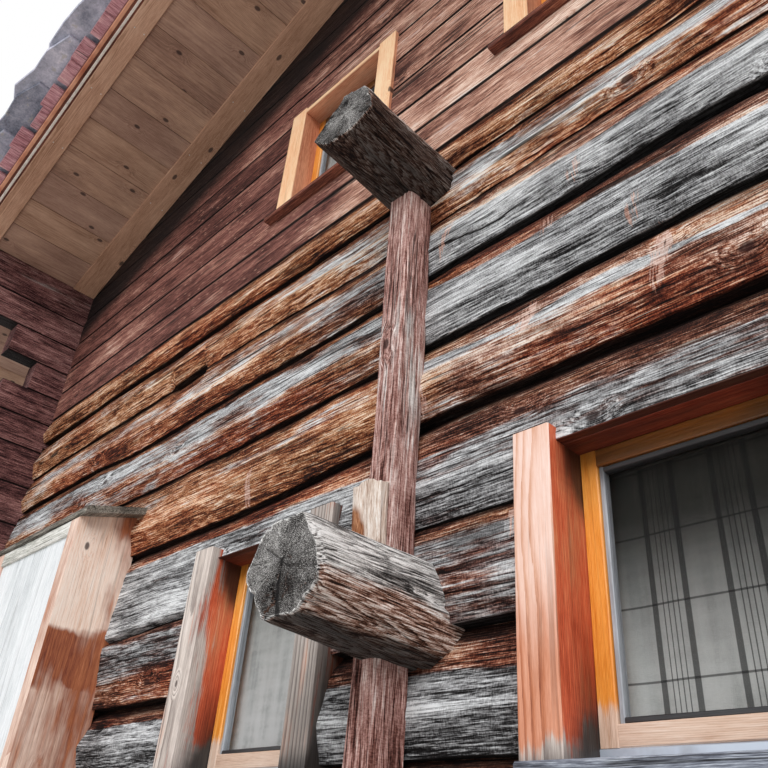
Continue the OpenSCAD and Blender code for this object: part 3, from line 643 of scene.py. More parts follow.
frame_wood = timber(
    "frame_wood", "#a05414 #dc8426 #f6a84e #ffd084", grey="#8c6c58 #c8a48c #e4c8b4 #f6e4d6",
    ring=0.003, contrast=0.8, lines=0.6, streak=0.6, crack=0.1, roughness=(0.25, 0.4), relief=0.001)
sash_paint = timber(
    "sash_paint", "#606264 #888c92 #a8adb4 #cacfd4",
    contrast=0.5, crack=0.1, roughness=(0.35, 0.5), relief=0.0005)
sill_wood = timber(
    "sill_wood", "#140c0a #4b2f2a #6e4a42 #92746a", grey="#26282e #5c606c #8d93a0 #c3cbd6",
    contrast=1.2, specular=0.3)
attic_sill = timber("attic_sill", "#1c0c08 #5c2c20 #904e38 #cc8c6c", relief=0.002)
cheek_wood = timber(
    "cheek_wood", "#a4745a #e8c2aa #fae2d2 #fff0e4 #fffaf4", orange="#3c160c #7c3c26 #a8623e #d49068",
    ring=0.009, lines=0.25, streak=0.5, crack=0.3, knots=1.8, knot_r=0.01, relief=0.002)
cap_wood = timber("cap_wood", "#24211e #5c5851 #8c877e #bab4aa", contrast=1.2, relief=0.006, specular=0.2)
panel_wood = timber(
    "panel_wood", "#a0a4a8 #d4d9dc #eaedf0 #fafcff", ring=0.006, contrast=0.7, crack=0.25, relief=0.002)
rail_wood = timber("rail_wood", "#54544a #a8a8a0 #d8d7d0 #f8f7f4", contrast=1.2, relief=0.006)
door_wood = timber("door_wood", "#2e1a14 #5a3626 #7d5038 #a1745a")
floor_wood = timber("floor_wood", "#5a4030 #8a6a50 #a88868 #c4a688", relief=0.002, loose=True)
slating_wood = timber("slating_wood", "#704048 #b87c86 #dca8b0 #f4d0d0", loose=True)
roof_stone = stone("roof_stone", "#4a4f60 #8a8e9e #b8b9ca #e4e2ee", lichen="#b4b0a8")
rubble = stone("rubble", "#3c3a39 #6a6663 #8e8984 #b0aaa3", scale=5)
mortar = stone("mortar", "#7c756c #9a9287 #b4aca0", scale=20, relief=0.003)
drip_paint = stone("drip_paint", "#ccc4bc #f2eae2 #fdf8f2", scale=30, relief=0.001, roughness=0.6)
copper = metal("copper", "#e2a88a", 0.4, "#bc745a")
brown_metal = metal("brown_metal", "#7c4a3c", 0.5, "#54302a")
zinc = metal("zinc", "#ccd6e4", 0.35, "#a4a8b0")
rod_metal = metal("rod_metal", "#d8d8d4", 0.3, "#b0b0ac")
# The curtain rods' metal, made dark as painted shade, since the rods hang in shade
painted_shade_rod = metal("painted_shade_rod", "#3c3a37", 0.4, "#2a2826")


def glazing():
    """Thin dark glass, a little clouded"""
    m = Shade("glazing")
    cloud = m.noise(m.place(), 3, 3)
    m.surface.inputs["Specular IOR Level"].default_value = 0.12
    return m.finish(Base_Color=m.mix(cloud, "#10100e", "#1c1c1a"), Alpha=0.14, IOR=1.45,
                    Roughness=m.step(cloud, 0.3, 0.7, 0.02, 0.06))


STRIPE_PERIOD, STRIPE_START = 0.19, 0.119
LEVEL_PERIOD, LEVEL_START = 0.176, 0.178


def cloth(name, ground, painted_reflection_foot, thread=None):
    """Thin curtain cloth, paler towards its foot by painted reflection in the glass, with woven groups of
    dark stripes where it has them
    """
    m = Shade(name)
    u, v, _ = m.parts(m.place("UV"))
    weave = m.noise(m.join(u * 900, v * 60, 0.0), 1, 1) + m.noise(m.join(u * 60, v * 900, 0.0), 1, 1) - 1
    soil = m.noise(m.join(u, v * 4, 0.0), 7, 4) - 0.5
    crease = m.noise(m.join(u * 14, v * 1.2, 0.0), 1.6, 3) - 0.5
    value = 0.5 + weave * 0.5 + soil * 0.8 + crease * 1.6
    # Dark at the top and pale at the foot: painted reflection in the glass, of the dark soffit above and the
    # bright sky below
    colour = m.mix(m.step(v, 0.6, 0.06), m.ramp(value, ground), m.ramp(value, painted_reflection_foot))
    if thread:
        group = m.calc("PINGPONG", u + STRIPE_START, STRIPE_PERIOD / 2)
        near = abs(group - STRIPE_PERIOD / 2)
        for middle, width, strength in ((0.042, 0.0085, 0.76), (0.0065, 0.0017, 0.7), (0.0195, 0.0017, 0.7)):
            colour = m.mix(m.step(abs(near - middle), width, width * 0.75) * strength, colour, thread)
        level = m.calc("PINGPONG", v + (LEVEL_PERIOD - LEVEL_START), LEVEL_PERIOD / 2)
        colour = m.mix(m.step(level, 0.0034, 0.0018) * 0.7, colour, thread)
        # A dark line along the foot: the hem, and a painted shadow where the cloth ends above the frame
        colour = m.mix(m.step(v, 0.016, 0.01) * 0.8, colour, thread)
    return m.finish(Base_Color=colour, Roughness=0.9, Alpha=0.94, Normal=m.bump(weave, 0.0006))


# Each cloth's second palette is the pale foot of painted reflection
curtain_check = cloth("curtain_check", "#161614 #2c2c28 #3c3c36", "#c4c8c6 #e6eae8 #f8fcfa", "#0c0c0e")
curtain_gauze = cloth("curtain_gauze", "#8c908e #ccd0ce #e8ecea", "#b8bcbc #f4f6f6 #fcfdff")


# The log walls: how far each log of the front has weathered, on the left and the right of the clamp,
# as low silver, high silver, amber and tone
WEATHER = {
    0: ((0.5, 0.6, 0.3, 0), (0.5, 0.6, 0.3, 0)), 1: ((0.5, 0.6, 0.3, 0), (0.5, 0.6, 0.3, 0)),
    2: ((0.6, 0.7, 0.3, 0), (0.6, 0.7, 0.3, 0)), 3: ((0.7, 0.8, 0.3, -0.5), (0.7, 0.8, 0.3, -1)),
    4: ((0.9, 0.9, 0.3, -0.5), (0.85, 0.9, 0.3, -1)), 5: ((0.2, 0.6, 0.35, -0.6), (0.45, 0.55, 0.35, -1)),
    6: ((0.9, 0.85, 0.3, -0.6), (0.75, 0.6, 0.3, -1.3)), 7: ((0.1, 0.38, 0.8, 0.3), (0.28, 0.92, 0.35, 1.1)),
    8: ((0.38, 0.64, 0.7, 0.8), (0.95, 1.0, 0.3, 0.8)), 9: ((0.2, 0.4, 0.75, -0.4), (0.9, 1.0, 0.4, 1.1)),
    10: ((0.15, 0.4, 0.9, 0.6), (0.35, 0.65, 0.75, 2.1)), 11: ((0.1, 0.2, 0.95, 0), (0.25, 0.35, 0.8, 0.7)),
}
# For the planed logs the same; their darker tone on the left is painted shade
PLANED_LOOK = ((0.02, 0.06, 0.15, -0.2), (0.15, 0.25, 0.7, 1.8))
# The lower lips of the front's logs, over their joints: places along the wall, heights there, and how far
# the joint is let in
LIPS = {
    1: ((0,), (1.07,), (0.02,)), 2: ((0,), (1.335,), (0.02,)), 3: ((0,), (1.6,), (0.02,)),
    4: ((0,), (1.87,), (0.035,)), 5: ((-1.3, 0.1), (2.132, 2.2), (0.065, 0.07)),
    6: ((-1.9, -1.3, 0.0), (2.405, 2.431, 2.502), (0.003, 0.003, 0.009)),
    7: ((-1.4, -0.8, -0.5, 0.08, 1.0), (2.81, 2.82, 2.845, 2.885, 2.89), (0.04, 0.034, 0.04, 0.05, 0.05)),
    8: ((-2.4, -1.4, -1.1, -0.8, -0.5, 0.08, 1.0), (3.14, 3.14, 3.145, 3.165, 3.168, 3.185, 3.2),
        (0.02, 0.008, 0.022, 0.037, 0.015, 0.04, 0.036)),
    9: ((-2.6, -2.2, -1.7, -1.1, -0.5, 0.08, 0.6, 1.0), (3.478, 3.437, 3.45, 3.475, 3.48, 3.507, 3.52, 3.535),
        (0.025, 0.02, 0.016, 0.022, 0.028, 0.035, 0.048, 0.052)),
    10: ((-2.6, -1.9, -1.88, -1.6, -1.575, -1.1, -0.5, 0.2, 0.6, 1.0),
         (3.725, 3.728, 3.765, 3.778, 3.745, 3.745, 3.73, 3.75, 3.76, 3.768),
         (0.014, 0.012, 0.05, 0.05, 0.008, 0.007, 0.006, 0.006, 0.006, 0.007)),
    11: ((-2.6, -0.5, 0.3, 1.0), (3.996, 3.993, 3.995, 4.004), (0.034, 0.024, 0.011, 0.011)),
    12: ((0,), (4.17,), (0.007,)),
}
# Where the front's logs are scarred or stained: middle, reach along and up, lean, strength
MARKS = ((0.84, 3.08, 0.035, 0.15, 0.15, -0.9), (0.79, 3.29, 0.03, 0.07, 0.3, -0.6),
         (0.48, 3.43, 0.03, 0.06, 0.2, -0.5), (0.4, 3.1, 0.035, 0.06, 0.3, -0.9),
         (-0.97, 2.89, 0.018, 0.12, 0.0, -0.9), (0.05, 3.62, 0.025, 0.1, 0.35, -0.7),
         (0.6, 3.58, 0.03, 0.06, 0.4, -0.5), (-0.03, 2.95, 0.03, 0.08, 0.1, -0.5),
         (-1.01, 3.2, 0.07, 0.06, 0.2, 0.35), (0.2, 2.43, 0.14, 0.05, 0.0, 0.5),
         (0.33, 2.44, 0.025, 0.05, 0.0, -0.7))
# A hewn log's lower lip, as a share of its height, and the eased edges of its back in metres
LIP, BACK_EDGE = 0.004, 0.007
# How far past a wall a log's cut for the corner reaches
CLEAR = 0.002
# How far a joint is let in where nothing else is known of it
PLAIN_DEEP = 0.03
# Where a joint's wandering ends if it never wanders
STRAIGHT = -9


def bent_line(s, knots, values):
    """Heights along a line with bends, each row with its own bends"""
    result = values[:, :1] + 0 * s
    for k in range(knots.shape[1] - 1):
        run = knots[:, k + 1:k + 2] - knots[:, k:k + 1]
        slope = (values[:, k + 1:k + 2] - values[:, k:k + 1]) / run
        result = result + slope * np.clip(s - knots[:, k:k + 1], 0, run)
    return result


def shoulder(deep):
    """The height of the sheltered slope under a joint that is let in this far"""
    return 0.022 + 1.1 * deep


def hewn_face(x, s, h, seed, deeps, belly_s, flat):
    """Depth of a hewn log's face: the underside of its lower lip, a belly, an upper facet and a shoulder
    that runs in under the next log"""
    one = np.ones_like(x)
    lip = 0.001 + 0.004 * noise(seed, x * 3) + 0.003 * noise(seed + 1, x * 17)
    belly = -0.025 + 0.003 * noise(seed + 3, x * 1.3)
    upper = 0.002 - 0.024 * flat + 0.004 * noise(seed + 4, x * 1.1)
    shelf = 1 - shoulder(deeps[1]) / h
    deep = deeps[1] + 0.004
    knots = np.stack((0 * one, LIP * one, belly_s - 0.015, belly_s + 0.015, shelf, (shelf + 1) / 2, one), 1)
    depth = np.stack((deeps[0], lip, belly, belly, upper, upper + 0.35 * (deep - upper), deep), 1)
    y = bent_line(s, knots, depth)
    xs = x[:, None]
    free = smooth(0.01, 0.06, s)
    hewing = noise(seed + 8, xs * 4.5 + s * 2, s * h * 7)
    y = y + free * (0.003 * hewing + 0.0016 * noise(seed + 9, xs * 1.3, s * h * 48))
    y = y + free * 0.0012 * noise(seed + 10, xs * 9, s * h * 90)
    return np.maximum(y, -BULGE - 0.005)


def planed_face(x, s, h, seed, *_):
    """Depth of a planed log's face, flat between its two chamfers"""
    chamfer = 0.006 / h
    edge = np.minimum(s, 1 - s)
    y = 0.012 * (1 - smooth(0, chamfer * 1.6, edge))
    xs = x[:, None]
    return y + 0.0015 * noise(seed, xs * 1.5, s * 2) + 0.001 * noise(seed + 1, xs * 2.5, s * h * 70)


def spans(limits, edges, spacing):
    """Splits a log at its cuts into runs, each a list of stations with the heights left there"""
    edges = sorted(set(round(e, 5) for e in edges))
    runs, current = [], []
    for a, b in zip(edges[:-1], edges[1:]):
        if b - a < 1e-4:
            continue
        low, high = limits(np.array([(a + b) / 2]))
        if high[0] - low[0] < 0.003:
            if current:
                runs.append(current)
            current = []
            continue
        x = np.linspace(a, b, max(2, int((b - a) / spacing((a + b) / 2)) + 2))
        inside = np.clip(x, a + 1e-5, b - 1e-5)
        current.append((x,) + limits(inside))
    if current:
        runs.append(current)
    return [tuple(np.concatenate(part) for part in zip(*run)) for run in runs]


def plain_belly(x, seed):
    """How far up a hewn log its belly is, and how flat it is above that"""
    return 0.36 + 0.08 * noise(seed + 2, x * 0.8) + 0.015 * noise(seed + 11, x * 6), 0 * x


def log(work, side, z0, z1, limits, edges, hewn, look, spacing, shares, seed, heads=1, deeps=None,
        belly=plain_belly, stain=lambda p: 0.0, shade=lambda x: 0 * x):
    """One log of a wall, with what its openings and its corners leave of it"""
    pith = np.array((0.08, (z0(0.0) + z1(0.0)) / 2 + 0.04 * noise(seed, 3.3)))
    start = seed * 3.7
    for x, low, high in spans(limits, edges, spacing):
        z = low[:, None] + (high - low)[:, None] * shares[None]
        bottom, top = z0(x)[:, None], z1(x)[:, None]
        s = np.clip((z - bottom) / (top - bottom), 0, 1)
        h = float(np.mean(top - bottom))
        deep = deeps(x) if deeps else (PLAIN_DEEP + 0 * x,) * 2
        y = (hewn_face if hewn else planed_face)(x, s, h, seed, deep, *belly(x, seed))
        back = np.full((len(x), 1), WALL)
        ring_y = np.concatenate((y, back - BACK_EDGE, back, back, back - BACK_EDGE), 1)
        ring_z = np.concatenate((z, z[:, -1:], z[:, -1:] - BACK_EDGE, z[:, :1] + BACK_EDGE, z[:, :1]), 1)
        rings = np.stack((np.broadcast_to(x[:, None], ring_y.shape), ring_y, ring_z), -1)

        def grain(p):
            return np.stack((p[:, 1] - pith[0], p[:, 2] - pith[1], p[:, 0] + start), 1)

        def share(p):
            return np.clip((p[:, 2] - z0(p[:, 0])) / (z1(p[:, 0]) - z0(p[:, 0])), 0, 1)

        def depth(p):
            """How far each point is from the joints, up to where their dark ends"""
            s = share(p)
            front = JOINT * np.minimum(s / LIP, 1) if hewn else np.minimum(s, 1 - s) * h * 1.1
            return np.where(p[:, 1] > WALL - 2 * BACK_EDGE, JOINT * (p[:, 1] > WALL - 0.001), front)

        def tone(p):
            """Painted highlight along the belly, partly worn pale, painted shade below it and on the shoulder
            under the next log, and patches
            """
            s, own = share(p), 1.6 * noise(seed, 7.7) + shade(p[:, 0])
            if not hewn:
                return own + 1.2 * noise(seed + 12, p[:, 0] * 1.4)
            above = s - belly(p[:, 0], seed)[0]
            crest = smooth(-0.04, 0.01, above) * smooth(0.16, 0.03, above)
            # The crest is a painted highlight; the lower facet and the shoulder are painted shade
            found = (own + 1.6 * noise(seed + 12, p[:, 0] * 1.6, s * 2.5)
                     + crest * (1.8 + noise(seed + 13, p[:, 0] * 3)) - 1.9 * smooth(0.0, -0.06, above)
                     - (own + 3.0) * smooth(1.4, 0.9, (1 - s) * h / under_joint(p)))
            ring = found[:rings[..., 0].size].reshape(rings.shape[:2])
            chips = 5 * smooth(-0.3, 0.3, noise(seed + 14, x * 14) + noise(seed + 15, x * 40))
            ring[:, 1:6] += (chips * (low > bottom[:, 0] + 0.01))[:, None]
            return found

        def under_joint(p):
            """How high the shoulder under the joint over a log is"""
            return shoulder(deeps(p[:, 0])[1] if deeps else PLAIN_DEEP)

        def stain_and_shade(p):
            """Stains, painted shade on the shoulder under the next log, and painted shade along the underside
            where an opening cuts the log
            """
            given = stain(p)
            if not hewn:
                return given
            shaded = smooth(0.0, 0.85, 1 - (1 - share(p)) * h / under_joint(p)) * (p[:, 1] < WALL / 2)
            found = given + 0.7 * shaded
            under = found[:rings[..., 0].size].reshape(rings.shape[:2])
            # Painted shade along the underside where the log sits over an opening
            under[:, 0] = np.maximum(under[:, 0], 0.8 * (low > bottom[:, 0] + 0.01))
            return found

        def silver(p):
            return look(p[:, 0], share(p), 0)

        def amber(p):
            return look(p[:, 0], share(p), 1)

        work.loft(rings, grain, side, (heads, heads), tone=tone, depth=depth, silver=silver, amber=amber,
                  stain=stain_and_shade)


def joint_line(z, seed, ends, lip=None):
    """A joint that wanders a little between the corners, along the lip over it where that is known"""
    def height(x):
        x = np.asarray(x, float)
        calm = smooth(ends, ends - 0.5, np.abs(x))
        known = np.interp(x, lip[0], lip[1]) - z if lip else 0.007 * noise(seed, x * 0.9)
        return z + calm * (known + 0.003 * noise(seed + 1, x * 5))
    return height


def joint_lines(side, first, joints, ends, lips):
    """The joints under and over a log: hewn logs' wander, planed ones' and the plinth's are straight"""
    lines = []
    for number in (first, first + 1):
        wanders = 0 < number < len(HEWN)
        lines.append(joint_line(joints[number], 1000 * side + 17 * number, ends if wanders else STRAIGHT,
                                lips.get(number)))
    return lines


def opening_limits(x, low, high, openings):
    """What the openings leave of a log's height at each station"""
    for x0, x1, z0, z1 in openings:
        inside = (x > x0) & (x < x1)
        if z0 <= low.min() + 0.03 and z1 >= high.max() - 0.03:
            high = np.where(inside, low, high)
        elif z0 <= low.min() + 0.03 and z1 > low.min():
            low = np.where(inside, z1, low)
        elif z1 >= high.max() - 0.03 and z0 < high.max():
            high = np.where(inside, z0, high)
    return low, high


def side_openings(side):
    """What the openings take from a wall: over a lower one the log hides the edge of the head board"""
    found = []
    for s, x, low, high in WINDOWS:
        if s != side:
            continue
        a, b = x - CASE_W / 2, x + CASE_W / 2
        over = ATTIC_HEAD_T if low > LOWER_OPEN[1] else 0.004
        for start, end, head in ((a, a + JAMB_W, HEAD_T), (a + JAMB_W, b - JAMB_W, over),
                                 (b - JAMB_W, b, HEAD_T)):
            found.append((start, end, low - SILL_T, high + head))
    if side == RIGHT:
        found.append((DOOR_X - DOOR_W / 2 - JAMB_W, DOOR_X + DOOR_W / 2 + JAMB_W, FLOOR_Z - SILL_T,
                      FLOOR_Z + DOOR_H + HEAD_T))
    return found


def log_openings(side, foot, head):
    """The openings of a wall that cut the log between two heights"""
    return [opening for opening in side_openings(side) if opening[2] < head and opening[3] > foot]


def both_ways(*places):
    """The same places left and right of the middle"""
    return [s * place for s in (-1, 1) for place in places]


def at_corner(x, inner, outer):
    """Where a log crosses the wall that it meets"""
    return (np.abs(x) > inner) & (np.abs(x) < outer + CLEAR)


# The heights on a log's face that its mesh has points at, finer on the front's logs near the clamp
HEWN_SHARES = np.array([0, LIP / 2, LIP, 0.03, 0.08, 0.16, 0.25, 0.34, 0.38, 0.45, 0.55, 0.65, 0.74, 0.8,
                        0.85, 0.9, 0.95, 1.0])
NEAR_SHARES = np.concatenate(([0, LIP / 2, LIP, 0.012], np.linspace(0.03, 0.75, 26),
                              np.linspace(0.77, 1.0, 13)))
PLANED_SHARES = np.array([0, 0.012, 0.028, 0.15, 0.3, 0.5, 0.7, 0.85, 0.972, 0.988, 1.0])
NEAR = (-2.4, 1.15)
# Where a log of the front turns from its left look to its right one
TURN = {7: (-0.4, 0.1), 8: (-0.4, 0.4), 9: (-1.0, 0.45)}
# How far the brown of the shoulder comes down its right part, in metres
RUSTY = {6: 0.03, 7: 0.035, 8: 0.055, 9: 0.045}


def marks_and_roof_shade(p, marks):
    """How far a gable's logs are scarred pale, below nought, or stained dark, above it, with painted shade
    close under the roof
    """
    x, z = p[:, 0], p[:, 2]
    found = 0.0
    for mx, mz, along, up, lean, strength in marks:
        far = np.hypot((x - mx - lean * (z - mz)) / along, (z - mz) / up)
        found = found + strength * smooth(1.15, 0.6, far)
    # Painted shade: darker close under the roof's boards
    return found + 1.7 * smooth(0.6, 0.12, roof_z(x) - z)


def gable_log(work, side, j):
    """One log of a gable, with its own weather on the front"""
    front, hewn, crosses = side == FRONT, j < len(HEWN), j <= LAST_CROSS
    foot, head = FRONT_JOINTS[j], FRONT_JOINTS[j + 1]
    middle = foot + SIDE_STEP * (head - foot)
    keep = (foot + middle) / 2, (middle + head) / 2
    seed = 1000 * side + 31 * j
    lips = LIPS if front else {}
    z0, z1 = joint_lines(side, j, FRONT_JOINTS, HALF_W, lips)
    run = OUTER_HALF_W + FRONT_HEAD if crosses else min(HALF_W, (RIDGE_Z - foot) / RISE)
    openings = log_openings(side, foot, head)
    left, right = WEATHER.get(j, PLANED_LOOK)
    if not front:
        right = left

    def spacing(x):
        if not front:
            return 0.07
        return 0.0145 if hewn and NEAR[0] < x < NEAR[1] else 0.05

    def limits(x):
        low, high = z0(x), z1(x)
        if crosses:
            corner = at_corner(x, HALF_W, OUTER_HALF_W)
            low, high = np.where(corner, keep[0], low), np.where(corner, keep[1], high)
        else:
            high = np.minimum(high, roof_z(x) + 0.004)
        return opening_limits(x, low, high, openings)

    edges = [-run, run] + both_ways(*(e for e in (HALF_W, OUTER_HALF_W + CLEAR) if e < run))
    edges += [e for o in openings for e in o[:2]] + [e for e in NEAR if abs(e) < run]
    reach = (RIDGE_Z - head) / RISE
    if not crosses and 0 < reach < run:
        edges += both_ways(reach)

    def deeps(x):
        """How far the joints under and over a log are let in"""
        found = []
        for joint in (j, j + 1):
            known = np.interp(x, lips[joint][0], lips[joint][2]) if joint in lips else 0.025 + 0 * x
            found.append(known * (1 + 0.2 * noise(500 + joint, x * 2.2)))
        return found

    def look(x, s, amber):
        """How silver or how amber a log is, changing from its left look to its right one"""
        share = smooth(*TURN.get(j, (-1.3, 0.1)), x + 0.25 * noise(seed, x * 3, s * 3))
        if amber:
            return left[2] + (right[2] - left[2]) * share
        low = left[0] + (right[0] - left[0]) * share
        high = left[1] + (right[1] - left[1]) * share
        bare = low + (high - low) * smooth(*((0.52, 0.68) if j == 7 else (0.3, 0.5)), s)
        rusty = RUSTY.get(j, 0.012) * share * (1 + 0.6 * noise(seed + 20, x * 3))
        under = shoulder(deeps(x)[1]) + rusty - (1 - s) * (head - foot)
        return bare * (1 - 0.9 * smooth(-0.015, 0.006, under))

    # The tone turns from the left look to the right one; on the planed logs the darker left is painted shade
    def shade(x):
        return left[3] + (right[3] - left[3]) * smooth(-0.7, 0.2 if hewn else 1.3, x)

    def belly(x, seed):
        """As on any log, but low on the sixth and high on the fifth at the left"""
        share, flat = plain_belly(x, seed)
        if not front or j not in (5, 6):
            return share, flat
        at_left = smooth(-0.3, -0.9, x)
        return share + at_left * ((0.05 if j == 6 else 0.84) - share), at_left * (j == 5)

    shares = PLANED_SHARES if not hewn else NEAR_SHARES if front and 4 <= j <= 10 else HEWN_SHARES
    log(work, side, z0, z1, limits, edges, hewn, look, spacing, shares, seed, 4, deeps, belly,
        lambda p: marks_and_roof_shade(p, MARKS if front else ()), shade)


def gable_logs(side, parity):
    """Every other log of a gable, the hewn ones below and the planed ones above"""
    hewn, planed = Work(), Work()
    for j in range(parity, len(FRONT_JOINTS) - 1, 2):
        gable_log(hewn if j < len(HEWN) else planed, side, j)
    name = ("front" if side == FRONT else "rear") + "_logs_" + ("odd" if parity else "even")
    hewn.piece(name + "_hewn", log_wood, "logs", (name,), crease=30)
    planed.piece(name + "_planed", planed_wood, "logs")


def side_log(work, side, k):
    """One log of a side wall, notched round the gables' logs at its two ends"""
    foot, head = SIDE_JOINTS[k], SIDE_JOINTS[k + 1]
    hewn = k < len(HEWN)
    band = foot if k == 0 else (foot + FRONT_JOINTS[k]) / 2, (FRONT_JOINTS[k] + head) / 2
    z0, z1 = joint_lines(side, k, SIDE_JOINTS, HALF_D - 0.2, {})
    run = HALF_D + SIDE_HEADS[k]
    openings = log_openings(side, foot, head)

    def limits(x):
        low, high = z0(x), z1(x)
        corner = at_corner(x, HALF_D - WALL, HALF_D)
        low, high = np.where(corner, band[0], low), np.where(corner, band[1], high)
        return opening_limits(x, low, high, openings)

    def look(x, s, amber):
        return 0 * x if amber else (0.55 if k < 8 else 0.1) * smooth(0.35, 0.6, s) + 0 * x

    edges = both_ways(run, HALF_D - WALL, HALF_D + CLEAR) + [e for o in openings for e in o[:2]]
    log(work, side, z0, z1, limits, edges, hewn, look, lambda x: 0.035 if abs(x) > HALF_D - 0.2 else 0.14,
        HEWN_SHARES if hewn else PLANED_SHARES, 1000 * side + 31 * k, heads=5)


def side_logs(side, parity):
    """Every other log of a side wall"""
    work = Work()
    for k in range(parity, LAST_CROSS + 1, 2):
        side_log(work, side, k)
    node = ("right" if side == RIGHT else "left") + "_logs_" + ("odd" if parity else "even")
    work.piece(node + "_hewn", corner_wood, "side_logs", (node,))


for wall in (FRONT, REAR):
    for odd in (0, 1):
        gable_logs(wall, odd)
for wall in (LEFT, RIGHT):
    for odd in (0, 1):
        side_logs(wall, odd)


# The wall clamp

def round_section(corners, count, ease=0.007):
    """Points round a section: the same number on every side, with the corners eased"""
    corners = np.array(corners, float)
    share = np.linspace(0, 1, count // len(corners))[:, None]
    path = []
    for k, p in enumerate(corners):
        way = corners[(k + 1) % len(corners)] - p
        e = min(ease, 0.35 * np.linalg.norm(way)) / np.linalg.norm(way)
        path.append(p + way * (e + (1 - 2 * e) * share))
    return np.concatenate(path)


SQUARE = [(-1, -1), (1, -1), (1, 1), (-1, 1)]
# Where a beam of the clamp ends inside the house, and where its taper starts at the wall
BEAM_IN, BEAM_WALL = 0.29, 0.03


def clamp_beam(name, node, wall_section, end_section, end_y, seed, centre, stained):
    """An eight-sided beam through the wall, furrowed along its grain, with cracks and a ringed end"""
    work = Work()
    near, far = round_section(wall_section, 88), round_section(end_section, 88)
    y = np.concatenate((np.linspace(BEAM_IN, BEAM_WALL, 8)[:-1], np.linspace(BEAM_WALL, end_y, 96)))
    share = np.clip((y - BEAM_WALL) / (end_y - BEAM_WALL), 0, 1)[:, None, None]
    section = near + (far - near) * share
    middle = section.mean(axis=1, keepdims=True)
    out = section - middle
    reach = np.linalg.norm(out, axis=2, keepdims=True)
    angle = np.arctan2(out[..., 1], out[..., 0])
    yy = y[:, None]
    across = angle * 0.14
    furrow = 0.002 * noise(seed, across * 60, yy * 1.6) + 0.002 * noise(seed + 1, across * 130, yy * 2)
    lump = 0.0025 * noise(seed + 2, across * 8, yy * 3)
    crack = np.zeros_like(furrow)
    for k, where in enumerate((-2.6, -1.45, -0.7, 0.15, 0.9, 2.2)):
        line = where + 0.1 * noise(seed + 20 + k, yy * 3)
        gap = np.abs((angle - line + math.pi) % (2 * math.pi) - math.pi)
        depth = 0.014 * smooth(-0.2, 0.3, noise(seed + 40 + k, yy * 2.5))
        crack -= depth * np.exp(-(gap / 0.03) ** 2)
    worn = -0.006 * smooth(0.03, 0, yy - end_y) * (0.6 + 0.4 * noise(seed + 3, across * 40))
    section = middle + out * (1 + (furrow + lump + crack + worn)[..., None] / reach)
    rings = np.stack((section[..., 0], np.broadcast_to(yy, furrow.shape), section[..., 1]), -1)
    rings[-1, :, 1] += 0.002 * noise(seed + 4, across[-1] * 40)

    def relief(points, sides):
        """The end: a crack from the middle down, a few radial ones and a faint unevenness"""
        p = points.copy()
        end = np.zeros(len(p), bool)
        end[sides:] = p[sides:, 1] < (end_y + BEAM_WALL) / 2
        dx, dz = p[end, 0] - centre[0], p[end, 2] - centre[1]
        r, a = np.hypot(dx, dz), np.arctan2(dz, dx)
        rise = 0.0008 * noise(seed + 5, p[end, 0] * 22, p[end, 2] * 22)
        for k, (where, size) in enumerate(((-1.75, 0.018), (2.5, 0.007), (0.6, 0.006), (-0.5, 0.005),
                                           (1.5, 0.006))):
            bend = 0.15 * noise(seed + 60 + k, r * 30)
            gap = np.abs((a - where - bend + math.pi) % (2 * math.pi) - math.pi) * r
            rise += size * np.exp(-(gap / 0.0035) ** 2) * smooth(0.0, 0.02, r)
        p[end, 1] += rise
        return p

    def grain(p):
        return np.stack((p[:, 0] - centre[0], p[:, 2] - centre[1], p[:, 1] + seed), 1)

    def silver(p):
        high = (p[:, 2] - centre[1]) / 0.13
        end = smooth(end_y + 0.012, end_y + 0.002, p[:, 1])
        return np.maximum((1.1 - 0.5 * stained) * smooth(-1.0, 0.4, high) - 0.1, 0.85 * end)

    def stain(p):
        dx, dz = p[:, 0] - centre[0], p[:, 2] - centre[1]
        # Painted shade on the beam's underside
        low = smooth(-0.66, -0.9, dz / 0.14 + 0.25 * dx / 0.14)
        end = smooth(end_y + 0.012, end_y + 0.002, p[:, 1])
        side = stained * (0.5 + 0.3 * smooth(0.01, -0.03, dz)) * smooth(0.42, 0.3, dz / 0.14)
        split = smooth(0.012, 0.004, np.abs(dx + 0.1 * dz + 0.004 * noise(seed + 7, dz * 40))) * (dz < 0.01)
        holes = 0.0
        for hx, hz in ((-0.09, 0.045), (-0.06, 0.075), (-0.12, 0.01), (0.0, 0.06)):
            holes = np.maximum(holes, stained * smooth(0.02, 0.01, np.hypot(dx - hx, dz - hz)))
        return np.where(end > 0.5, np.maximum(split * (1 - stained), holes), np.maximum(0.85 * low, side))

    work.loft(rings, grain, FRONT, (1, 16), relief, silver=silver, stain=stain, tone=1.6 * (1 - stained))
    work.piece(name, beam_wood, "clamp_wood", (node,), crease=28)


# The beams' sections at the wall and at their ends, as places across and heights
LOWER_WALL = [(-0.177, 2.17), (-0.105, 2.095), (0.05, 2.088), (0.114, 2.14), (0.105, 2.29), (0.05, 2.38),
              (-0.105, 2.385), (-0.177, 2.31)]
LOWER_END = [(-0.178, 2.238), (-0.073, 2.114), (0.054, 2.12), (0.127, 2.19), (0.113, 2.267),
             (0.042, 2.379), (-0.083, 2.378), (-0.138, 2.339)]
UPPER_WALL = [(-0.215, 3.89), (-0.143, 3.825), (0.0, 3.82), (0.075, 3.85), (0.075, 3.99), (0.013, 4.05),
              (-0.143, 4.05), (-0.215, 3.978)]
UPPER_END = [(-0.222, 3.956), (-0.129, 3.87), (0.008, 3.863), (0.103, 3.898), (0.085, 3.98),
             (0.054, 4.053), (-0.06, 4.092), (-0.161, 4.01)]
clamp_beam("lower_beam", "lower_clamp_beam", LOWER_WALL, LOWER_END, -0.48, 71, (-0.03, 2.26), 0.0)
clamp_beam("upper_beam", "upper_clamp_beam", UPPER_WALL, UPPER_END, -0.47, 171, (-0.05, 3.98), 1.0)


